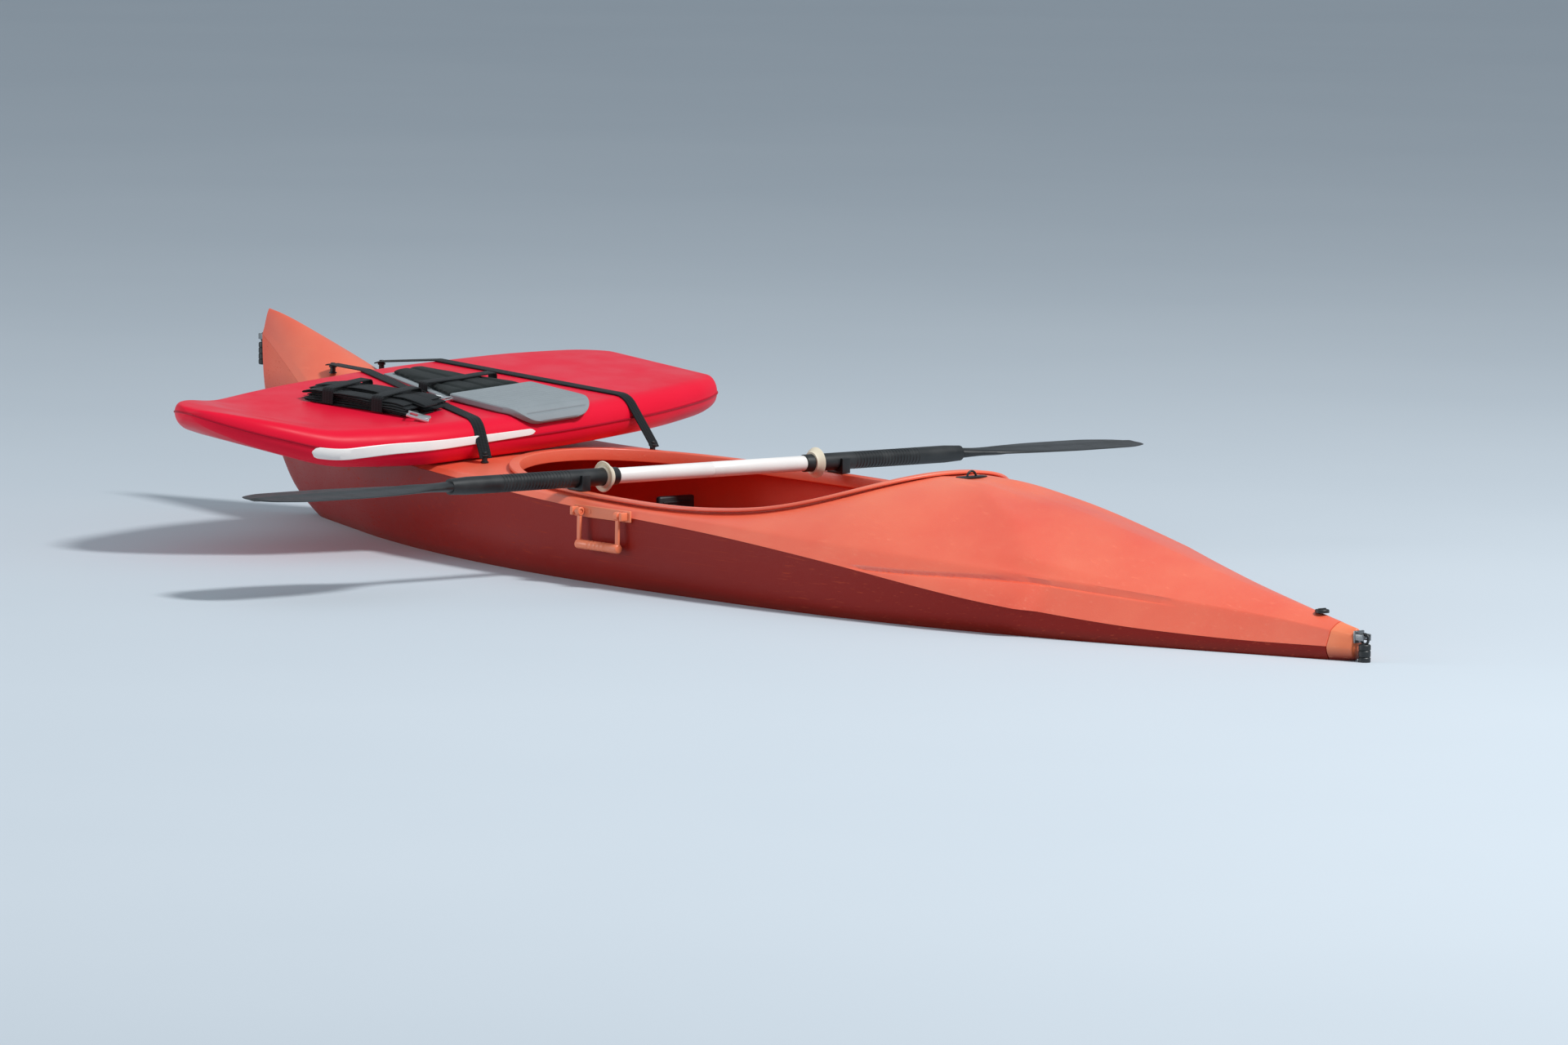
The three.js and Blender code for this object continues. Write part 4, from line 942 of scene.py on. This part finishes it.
# Float: a thick board with round rails and an upturned port nose, of foam under a glossy crimson
# skin with a welded seam round its rails. Its frame has x to port, y aft and z up, and each row
# is a place along x: half its width, its thickness and how far the nose is raised.
FLOAT_FRAME = (
    Matrix.Translation((0, -0.920, 0.2595))
    @ Matrix.Rotation(math.radians(-5.5), 4, "X")
    @ Matrix.Rotation(math.radians(3.5), 4, "Y")
    @ Matrix.Rotation(math.radians(3), 4, "Z")
)
FLOAT_ROWS = (
    (-526, 60, 16, 0),
    (-522, 112, 34, 0),
    (-510, 148, 52, 0),
    (-485, 182, 66, 0),
    (-400, 222, 76, 0),
    (-220, 262, 80, 0),
    (30, 280, 80, 0),
    (280, 266, 80, 0),
    (500, 214, 74, 6),
    (640, 142, 60, 38),
    (712, 72, 40, 61),
    (732, 36, 26, 69),
    (738, 12, 10, 72),
)
FLOAT_FORM = table(FLOAT_ROWS, ("x", "half", "thick", "rise"))
FLOAT_STEPS = {"along": 90, "rail": 14, "flat": 10}
RAIL_SEAM = {"radius": 2.2, "steps": 80}


def gloss_skin(name, colour, faded):
    """A glossy skin: smooth, in one even colour, with long, soft ripples and wear that dulls it."""
    material, add, spot = new_material(name)
    ripple = add("TexNoise", "Fac", {"Vector": spot, "Scale": 5, "Detail": 2})
    wear = add("TexNoise", "Fac", {"Vector": spot, "Scale": 12, "Detail": 3})
    tone = add("MixRGB", "Color", {"Fac": ripple, "Color1": srgb(colour), "Color2": srgb(faded)})
    span = {"Value": wear, "From Min": 0.35, "From Max": 0.7, "To Min": 0.3, "To Max": 0.44}
    rough = add("MapRange", "Result", span)
    bump = add("Bump", "Normal", {"Height": ripple, "Strength": 0.2, "Distance": 0.0008})
    surface = {"Base Color": tone, "Roughness": rough, "Normal": bump, "IOR": 1.46}
    return finish_material(material, surface | {"Specular IOR Level": 0.12})


def on_float(x, y, z):
    """A point in metres from its place in the float's frame in millimetres."""
    return FLOAT_FRAME @ (Vector((x, y, z)) * MM)


def float_form(x):
    """The float's half width, half thickness and rise at a place along it."""
    half, thick, rise = (curve(FLOAT_FORM[c], x) for c in ("half", "thick", "rise"))
    return half, thick / 2, rise


def eased(start, end, steps):
    """Numbers from start to end that are closer together at both ends."""
    return [start + (end - start) * (1 - math.cos(math.pi * t)) / 2 for t in spaced(0, 1, steps)]


float_ends = FLOAT_ROWS[0][0], FLOAT_ROWS[-1][0]
rings = []
for x in eased(*float_ends, FLOAT_STEPS["along"]):
    half, r, rise = float_form(x)
    flat = max(half - r, 1)
    ring = [(flat + py, pz) for py, pz in arc(0, 0, r, -90, 90, FLOAT_STEPS["rail"])]
    ring += [(y, r) for y in spaced(flat, -flat, FLOAT_STEPS["flat"])[1:-1]]
    ring += [(py - flat, pz) for py, pz in arc(0, 0, r, 90, 270, FLOAT_STEPS["rail"])]
    ring += [(y, -r) for y in spaced(-flat, flat, FLOAT_STEPS["flat"])[1:-1]]
    rings.append([on_float(x, y, rise + z) for y, z in ring])
crimson = gloss_skin("gloss_skin_crimson", "#E0122F", "#E81E3E")
finish_piece(new_object(loft(rings), "float_skin", crimson), "hull", "float_crimson", "float_body")

edge_points = [(x, *float_form(x)) for x in eased(*float_ends, RAIL_SEAM["steps"])]
route = [on_float(x, half, rise) for x, half, r, rise in edge_points]
route += [on_float(x, -half, rise) for x, half, r, rise in reversed(edge_points[1:-1])]
seam_red = gloss_skin("welded_seam_crimson", "#A80E26", "#B01430")
up = FLOAT_FRAME.to_3x3() @ Vector((0, 0, 1))
bm = sweep(route, circle(RAIL_SEAM["radius"], 8), up, closed=True)
finish_piece(new_object(bm, "float_rail_seam", seam_red), "hull", "float_crimson")

# Rubbing strip: a white extrusion of gloss polymer, glued along the float's aft rail. It is
# narrower towards its inner end and rounded at both.
STRIPE = {"from": 90, "to": 575, "half": 12, "narrow": 0.5, "end": 14}
STRIPE_TILT = ((90, 11), (400, 5), (575, -20))
STRIPE_SECTION = ((-1, 0.4), (1, 0.4), (1, 2.2), (0.85, 3.2), (0, 3.4), (-0.85, 3.2), (-1, 2.2))

white_gloss = moulded_plastic("gloss_polymer_white", "#F2EEEA", 0.38, 2000)
rings = []
for x in spaced(STRIPE["from"], STRIPE["to"], 90):
    share = (x - STRIPE["from"]) / (STRIPE["to"] - STRIPE["from"])
    half, r, rise = float_form(x)
    end = min((x - STRIPE["from"]) / STRIPE["end"], (STRIPE["to"] - x) / STRIPE["end"], 1)
    high = STRIPE["half"] * (STRIPE["narrow"] + (1 - STRIPE["narrow"]) * share)
    high *= math.sqrt(max(1 - (1 - end) ** 2, 0.02))
    tilt = math.radians(curve(STRIPE_TILT, x))
    turns = [(tilt + a * high / r, r + out) for a, out in STRIPE_SECTION]
    rings.append([on_float(x, half - r + d * math.cos(t), rise + d * math.sin(t)) for t, d in turns])
stripe = new_object(loft(rings), "rubbing_strip", white_gloss)
finish_piece(stripe, "hull", "white_gloss", "float_stripe")

# Deck pads, glued to the float: a grey foam sheet with grooves moulded across it, whose round aft
# end hangs over the rail, and ahead of it a dark padded plate on a thin sheet of the same grey.
PAD = {"x": 30, "half": 108, "thick": 14, "split": 80, "fore": -190, "corner": 60, "fore_half": 48}
PAD_REACH = 282
PAD_LIFT = 40.8
# The sheet's foot: how far it is above the float, and how far in, and where its sides start.
PAD_FOOT = {"lift": 1.6, "in": 2, "side": 4}
# Columns across the grey sheet, as shares of its half width, and how far its edge is rounded down.
PAD_COLUMNS = (0.84, 0.87, 0.9, 0.93, 0.985, 1)
PAD_EDGE = {0.985: 0.8, 1: 3}
GROOVES = {"pitch": 15, "half": 2.2, "deep": 2.5, "ends": (0.93, 0.84)}
PLATE = {"inset": 9, "sheet": 3, "thick": 7, "cap": 4, "channels": (-52, 0, 52), "half": 7, "deep": 3.5}


def over_rail(y, lift):
    """A place on the float's top at a distance aft, carried round the aft rail past its centre."""
    half, r, rise = float_form(PAD["x"])
    past = y - (half - r)
    if past <= 0:
        return y, r + lift
    turn = past / r
    return half - r + (r + lift) * math.sin(turn), (r + lift) * math.cos(turn)


pad_foam = closed_cell_foam("grey_foam_sheet", "#828A8E", "#91999D")
corner = PAD["corner"]
columns = [-x for x in reversed(PAD_COLUMNS)] + list(PAD_COLUMNS)
rings = []
for y in spaced(PAD["split"], PAD_REACH, 120):
    past = max(y - (PAD_REACH - corner), 0) / corner
    half = PAD["half"] - corner + corner * math.sqrt(max(1 - past**2, 0.001))
    near = abs((y - PAD["split"]) % GROOVES["pitch"] - GROOVES["pitch"] / 2) / GROOVES["half"]
    foot = half - PAD_FOOT["in"], over_rail(y, PAD_FOOT["lift"])
    side = half, over_rail(y, PAD_FOOT["side"])
    ring = [(-foot[0], foot[1]), (-side[0], side[1])]
    for x in columns:
        dip = GROOVES["deep"] * max(1 - near**2, 0) * ramp(abs(x), *GROOVES["ends"])
        lift = PAD_FOOT["lift"] + PAD["thick"] - PAD_EDGE.get(abs(x), 0) - dip
        ring.append((x * half, over_rail(y, lift)))
    ring += [side, foot]
    rings.append([on_float(PAD["x"] + x, py, pz) for x, (py, pz) in ring])
finish_piece(new_object(loft(rings), "pad_sheet", pad_foam), "hull", "grey_foam", "pad_grey")

sheet_top = PAD_LIFT + PLATE["sheet"]
rings = []
for z, inset in ((PAD_LIFT - 0.4, 0), (sheet_top - 1, 0), (sheet_top, 1.2)):
    wide, narrow = PAD["half"] - inset, PAD["fore_half"] - inset
    corners = ((-wide, PAD["split"] - 0.4 - inset), (-narrow, PAD["fore"] + inset))
    corners += tuple((-x, y) for x, y in reversed(corners))
    rings.append([on_float(PAD["x"] + x, y, z) for x, y in corners])
bm = loft(rings)
finish_piece(new_object(bm, "pad_under_sheet", pad_foam), "hull", "grey_foam")

inset = PLATE["inset"]
corners = [(inset - PAD["half"], PAD["split"] - inset)]
corners += [(inset - PAD["fore_half"], PAD["fore"] + inset)]
corners += [(-x, y) for x, y in reversed(corners)]
levels = (sheet_top + 1, sheet_top + 1 + PLATE["thick"])
rings = [[Vector((PAD["x"] + x, y, z)) * MM for x, y in corners] for z in levels]
plate = puffed(new_object(loft(rings), "pad_plate", dark_nylon), PLATE["cap"])
for v in plate.data.vertices:
    v.co.z = max(v.co.z, (sheet_top + 0.1) * MM)
    if v.co.z > (levels[0] + 3) * MM:
        near = min(abs(v.co.x / MM - PAD["x"] - x) for x in PLATE["channels"]) / PLATE["half"]
        v.co.z -= PLATE["deep"] * MM * max(1 - near**2, 0)
plate.data.transform(FLOAT_FRAME)
finish_piece(smoothed(plate), "hull", "dark_cloth", "pad_dark")

# Lashings: two bands of black polyester webbing that run from studs by the cockpit over the float
# to studs on the bow, a short band across the pads, and a steel buckle on the port band.
STUD = ((0, 0), (8, 0), (8, 2), (5.5, 3.5), (5.5, 11), (8, 12.5), (8, 15), (7, 16), (0, 16))
STUD_SCREW = {"radius": 5, "length": 5, "up": 3}
WEB = {"width": 26, "thick": 2.5, "lift": 1.4, "rail": 40, "round": 42.5, "rib": 2.4, "row": 6.5}
WEB_TAIL = {"long": 9, "down": 2}
CROSS = {"y": -20, "half": 89, "foot": 96, "top": PAD_LIFT + 17}
BUCKLE = {"place": (168, 82, 49), "turn": 0.22, "plate": (3.5, 46, 6), "apart": 15.2}
BUCKLE_BARS = {"radius": 2.2, "length": 32, "places": (-20, 0, 20)}
LEVER = {"size": (26, 24, 2), "place": (0, 10, 3.2), "tip": 0.12}


def webbing(name, colour, faded):
    """Polyester webbing: ribs across it every 2.4 mm, drawn coarse so that they show, and four
    rows of warp along it. It reads its length and width from the mesh."""
    material, add, _ = new_material(name)
    along = add("Attribute", "Vector", attribute_name="weave")
    rib, row = (2 * math.pi / (20 * WEB[size] * MM) for size in ("rib", "row"))
    ribs = add("TexWave", "Fac", {"Vector": along, "Scale": rib}, bands_direction="X")
    warp = add("TexWave", "Fac", {"Vector": along, "Scale": row}, bands_direction="Y")
    weave = add("Math", "Value", {0: warp, 1: 0.8, 2: ribs}, operation="MULTIPLY_ADD")
    worn = add("MapRange", "Result", {"Value": weave, "From Max": 1.8})
    tone = add("MixRGB", "Color", {"Fac": worn, "Color1": srgb(colour), "Color2": srgb(faded)})
    bump = add("Bump", "Normal", {"Height": weave, "Strength": 0.6, "Distance": 0.0005})
    surface = {"Base Color": tone, "Normal": bump, "Roughness": 0.75, "Specular IOR Level": 0.15}
    return finish_material(material, surface | {"Sheen Weight": 0.08})


def band_section(width, thick):
    """A band's section: flat, with round edges."""
    half = (width - thick) / 2
    right = [(half + x, y) for x, y in arc(0, 0, thick / 2, -90, 90, 4)]
    left = [(x - half, y) for x, y in arc(0, 0, thick / 2, 90, 270, 4)]
    return [(-half / 2, -thick / 2), (half / 2, -thick / 2), *right, (half / 2, thick / 2), *left[:-1]]


def band_route(aft, fore):
    """The line of a taut band, in the float's frame, from one stud over both rails to the other."""
    forward = Vector((fore.x - aft.x, fore.y - aft.y, 0)).normalized()
    run = Vector((fore.x - aft.x, fore.y - aft.y)).length
    half_aft = float_form(aft.x)[0] - WEB["rail"]
    half_fore = float_form(fore.x)[0] - WEB["rail"]
    rails = ((aft.y - half_aft) / -forward.y, (aft.y + half_fore) / -forward.y)
    flat = [(0.0, aft.z)]
    for stud, rail, turn in (((0, aft.z), rails[0], -1), ((run, fore.z), rails[1], 1)):
        away = math.atan2(stud[1], stud[0] - rail) % (2 * math.pi)
        if turn > 0 and away > math.pi:
            away -= 2 * math.pi
        near = away + turn * math.acos(min(WEB["round"] / math.hypot(stud[1], stud[0] - rail), 1))
        angles = (math.degrees(near), 90) if turn < 0 else (90, min(math.degrees(near), 90))
        flat += arc(rail, 0, WEB["round"], *angles, 10)
    flat.append((run, fore.z))
    return [Vector((aft.x, aft.y, 0)) + forward * d + Vector((0, 0, z)) for d, z in flat]


black_webbing = webbing("polyester_webbing_black", "#0E1112", "#22272A")
for side_name in SIDES:
    ends = []
    for spot in ("aft", "fore"):
        low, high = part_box(f"strap_peg_{spot}_{side_name}")
        middle = (low + high) / 2
        bm = bmesh.new()
        add_turned(bm, STUD, Matrix.Translation((middle.x, middle.y, low.z)), 32)
        head = Matrix.Translation((middle.x, middle.y, high.z + STUD_SCREW["up"] * MM))
        add_rod(bm, STUD_SCREW["radius"], STUD_SCREW["length"], head, 1.4)
        stud = new_object(bm, f"stud_{spot}_{side_name}", black_nylon)
        finish_piece(stud, "hull", "black_plastic", f"strap_peg_{spot}_{side_name}")
        top = Vector((middle.x, middle.y, high.z + (WEB["lift"] + WEB["thick"] / 2) * MM))
        ends.append(FLOAT_FRAME.inverted() @ top / MM)
    route = band_route(*ends)
    side = (route[-1] - route[0]).cross(Vector((0, 0, 1))).normalized()
    down = Vector((0, 0, WEB_TAIL["down"]))
    ends = (route[:2], route[:-3:-1])
    tails = [a + (a - b).normalized() * WEB_TAIL["long"] - down for a, b in ends]
    route = [tails[0], *route, tails[1]]
    bm = sweep([p * MM for p in route], band_section(WEB["width"], WEB["thick"]), side)
    bm.transform(FLOAT_FRAME)
    band = new_object(bm, f"lashing_{side_name}", black_webbing)
    finish_piece(band, "hull", "black_webbing", f"strap_{side_name}")

foot_z = PAD_LIFT + WEB["thick"] / 2
half_route = [(CROSS["foot"], foot_z), (CROSS["half"] + 3, foot_z)]
half_route += arc(CROSS["half"], foot_z + 3, 2.5, -60, 0, 3)
half_route += arc(CROSS["half"] - 3, CROSS["top"] - 4, 5.5, 0, 75, 4)
half_route += [(40, CROSS["top"] + 1), (0, CROSS["top"])]
flat = half_route + [(-x, z) for x, z in reversed(half_route[:-1])]
route = [on_float(PAD["x"] + x, CROSS["y"], z) for x, z in flat]
bm = sweep(route, band_section(WEB["width"], WEB["thick"]), FLOAT_FRAME.to_3x3() @ Vector((0, 1, 0)))
finish_piece(new_object(bm, "lashing_cross", black_webbing), "hull", "black_webbing", "strap_cross")


def add_buckle(bm, spot):
    """Adds a cam buckle: two side plates, three bars and the cam's lever."""
    for x in (-1, 1):
        add_block(bm, BUCKLE["plate"], spot @ moved(x * BUCKLE["apart"], 0, 0))
    for y in BUCKLE_BARS["places"]:
        bar = spot @ moved(0, y, 0) @ ALONG_X
        add_rod(bm, BUCKLE_BARS["radius"], BUCKLE_BARS["length"], bar, 0.8)
    lever = spot @ moved(*LEVER["place"]) @ Matrix.Rotation(LEVER["tip"], 4, "X")
    add_block(bm, LEVER["size"], lever, 0.8)


zinc = brushed_steel("zinc_plated_steel", "#DDE0E1")
bm = bmesh.new()
spot = FLOAT_FRAME @ moved(*BUCKLE["place"])
add_buckle(bm, spot @ Matrix.Rotation(BUCKLE["turn"], 4, "Z"))
finish_piece(new_object(bm, "cam_buckle", zinc), "hull", "steel", "strap_buckle")

# Spare webbing: the bands' long ends, folded to and fro into three hanks that lie close together,
# pressed down at their ends and tied with two turns of the same webbing.
BUNDLE = {"x": 286, "y": 20, "base": 41.8, "turn": 0.22, "thick": 2.4, "pitch": 4.7}
HANKS = ((-41, 133, 6, 39), (0, 141, 7, 40), (41, 129, 6, 38))
LAYER_ENDS = (0, -10, 3, -16, -5, 4, -8, -13)
TIES = (-62, 58)
# A tie goes from its foot round two shoulders of one radius, over the top of the hanks.
TIE = {"foot": (65, 2), "shoulder": (57, 25), "radius": 8, "top": (20, 33.5), "thick": 2}
LOOSE_BUCKLE = {"place": (62, 158, 6), "turn": 0.5, "tip": -0.25}
SAG = {"ends": 0.32, "sway": 5.0, "waves": 3.1, "tied": 0.10, "tie_reach": 30}

bundle_frame = FLOAT_FRAME @ moved(BUNDLE["x"], BUNDLE["y"], BUNDLE["base"])
bundle_frame = bundle_frame @ Matrix.Rotation(BUNDLE["turn"], 4, "Z")
bm = bmesh.new()
for x, half, layers, width in HANKS:
    flat = []
    for k in range(layers):
        z = BUNDLE["thick"] / 2 + 0.3 + k * BUNDLE["pitch"]
        way = 1 if k % 2 else -1
        end = half + LAYER_ENDS[(k + abs(x)) % len(LAYER_ENDS)] - 6
        flat += [(y, z) for y in spaced(-way * end, way * end, 14)]
        if k < layers - 1:
            bend = arc(0, z + BUNDLE["pitch"] / 2, BUNDLE["pitch"] / 2, -90, 90, 5)
            flat += [(way * (end + 2.4 * by), bz) for by, bz in bend]
    route = [Vector((0, y, z)) * MM for y, z in flat]
    hank = sweep(route, band_section(width, BUNDLE["thick"]), (1, 0, 0))
    for v in hank.verts:
        share = v.co.y / MM / half
        v.co.x += SAG["sway"] * MM * math.sin(SAG["waves"] * share + v.co.z / MM / 5 + x)
        pressed = min(abs(v.co.y / MM - y) for y in TIES) / SAG["tie_reach"]
        low_end = SAG["ends"] * max(abs(share) - 0.45, 0) ** 2 / 0.3
        v.co.z *= 1 - low_end - SAG["tied"] * max(1 - pressed**2, 0)
    hank.transform(bundle_frame @ moved(x, 0, 0))
    join_into(bm, hank)
across = bundle_frame.to_3x3() @ Vector((0, 1, 0))
for y in TIES:
    tie = [TIE["foot"], *arc(*TIE["shoulder"], TIE["radius"], 0, 80, 5), TIE["top"]]
    tie += [(-x, z) for x, z in reversed(tie)]
    route = [bundle_frame @ (Vector((x, y, z)) * MM) for x, z in tie]
    join_into(bm, sweep(route, band_section(WEB["width"], TIE["thick"]), across))
finish_piece(new_object(bm, "spare_webbing", black_webbing), "hull", "black_webbing", "strap_bundle")
bm = bmesh.new()
spot = bundle_frame @ moved(*LOOSE_BUCKLE["place"]) @ Matrix.Rotation(LOOSE_BUCKLE["turn"], 4, "Z")
add_buckle(bm, spot @ Matrix.Rotation(LOOSE_BUCKLE["tip"], 4, "X"))
finish_piece(new_object(bm, "spare_webbing_buckle", zinc), "hull", "steel")

# Paddle: a white gloss shaft with a joint in the middle, black sleeves with a grooved grip, cream
# rubber drip rings and black nylon blades, each a lens with a spine. It lies in two nylon clips.
SHAFT = {"half": 234.6, "radius": 15, "joint": 0.8}
SLEEVE = {"from": 235, "to": 639.6, "radius": 17, "neck": 15, "taper": 40, "edge": 1.5}
SLEEVE_GRIP = {"places": (360, 520, 20), "half": 2.2, "flat": 1, "deep": 0.9}
DRIP_RING_AT = 262
DRIP_RING = ((17.4, -8), (17.4, 8), (21, 8), (21.8, 3), (28.5, 6.5), (30, 5), (29, 3), (22.5, -3))
DRIP_RING += ((21, -8), (17.4, -8))
BLADE = {"from": 640, "body": 0.78, "spine": 0.28, "spine_half": 9, "spine_ends": (30, 120)}
BLADE_ROWS = (
    (0, 15, 26),
    (60, 30, 18),
    (150, 68, 11),
    (270, 86, 8),
    (380, 84, 7),
    (440, 58, 6),
    (456, 36, 5),
    (461, 12, 3),
)
BLADE_FORM = table(BLADE_ROWS, ("along", "half", "thick"))

low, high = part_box("paddle_shaft")
axis = Matrix.Translation((low + high) / 2) @ ALONG_X
half, radius = SHAFT["half"], SHAFT["radius"]
profile = [(0, -half), *arc(radius - 1, 1 - half, 1, -90, 0, 2)]
profile += [(radius, -1.5), (radius - SHAFT["joint"], 0), (radius, 1.5)]
bm = bmesh.new()
add_turned(bm, profile + [*arc(radius - 1, half - 1, 1, 0, 90, 2), (0, half)], axis, 64)
finish_piece(new_object(bm, "paddle_shaft_tube", white_gloss), "hull", "white_gloss", "paddle_shaft")

cream_rubber = moulded_plastic("cream_rubber", "#E4DAC2", 0.62)
middle = (low + high) / 2
for side_name, side in SIDES.items():
    outward = Matrix.Translation(middle) @ Matrix.Rotation(side * math.pi / 2, 4, "Y")
    radius, edge = SLEEVE["radius"], SLEEVE["edge"]
    flat, deep = SLEEVE_GRIP["flat"], radius - SLEEVE_GRIP["deep"]
    profile = [(0, SLEEVE["from"]), *arc(radius - edge, SLEEVE["from"] + edge, edge, -90, 0, 3)]
    for h in spaced(*SLEEVE_GRIP["places"]):
        profile += [(radius, h - SLEEVE_GRIP["half"]), (deep, h - flat)]
        profile += [(deep, h + flat), (radius, h + SLEEVE_GRIP["half"])]
    profile += [(radius, SLEEVE["to"] - SLEEVE["taper"])]
    profile += [(SLEEVE["neck"], SLEEVE["to"]), (0, SLEEVE["to"])]
    bm = bmesh.new()
    add_turned(bm, profile, outward)
    sleeve = new_object(bm, f"paddle_grip_{side_name}", black_nylon)
    finish_piece(sleeve, "hull", "black_plastic", f"paddle_sleeve_{side_name}")
    bm = bmesh.new()
    add_turned(bm, DRIP_RING, outward @ moved(0, 0, DRIP_RING_AT))
    ring = new_object(bm, f"drip_ring_{side_name}_cup", cream_rubber)
    finish_piece(ring, "hull", "cream_rubber", f"drip_ring_{side_name}")
    rings = []
    for along in eased(0, BLADE_ROWS[-1][0], 60):
        half = curve(BLADE_FORM["half"], along)
        thick = curve(BLADE_FORM["thick"], along)
        ring = []
        for turn in spaced(0, 360, 40)[:-1]:
            y = half * math.cos(math.radians(turn))
            body = abs(math.sin(math.radians(turn))) ** 0.9 * thick / 2
            spine = BLADE["spine"] * thick * math.exp(-((y / BLADE["spine_half"]) ** 2))
            spine *= ramp(along, *BLADE["spine_ends"])
            z = math.copysign(body * BLADE["body"] + spine, math.sin(math.radians(turn)))
            point = Vector((side * (BLADE["from"] + along), y, z if turn % 180 else 0))
            ring.append(middle + point * MM)
        rings.append(ring)
    blade = new_object(loft(rings), f"paddle_blade_{side_name}_lens", black_nylon)
    finish_piece(blade, "hull", "black_plastic", f"paddle_blade_{side_name}")
    rounded_copy(f"paddle_clip_{side_name}", black_nylon, "black_plastic", 1.4, 3)

low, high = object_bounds()
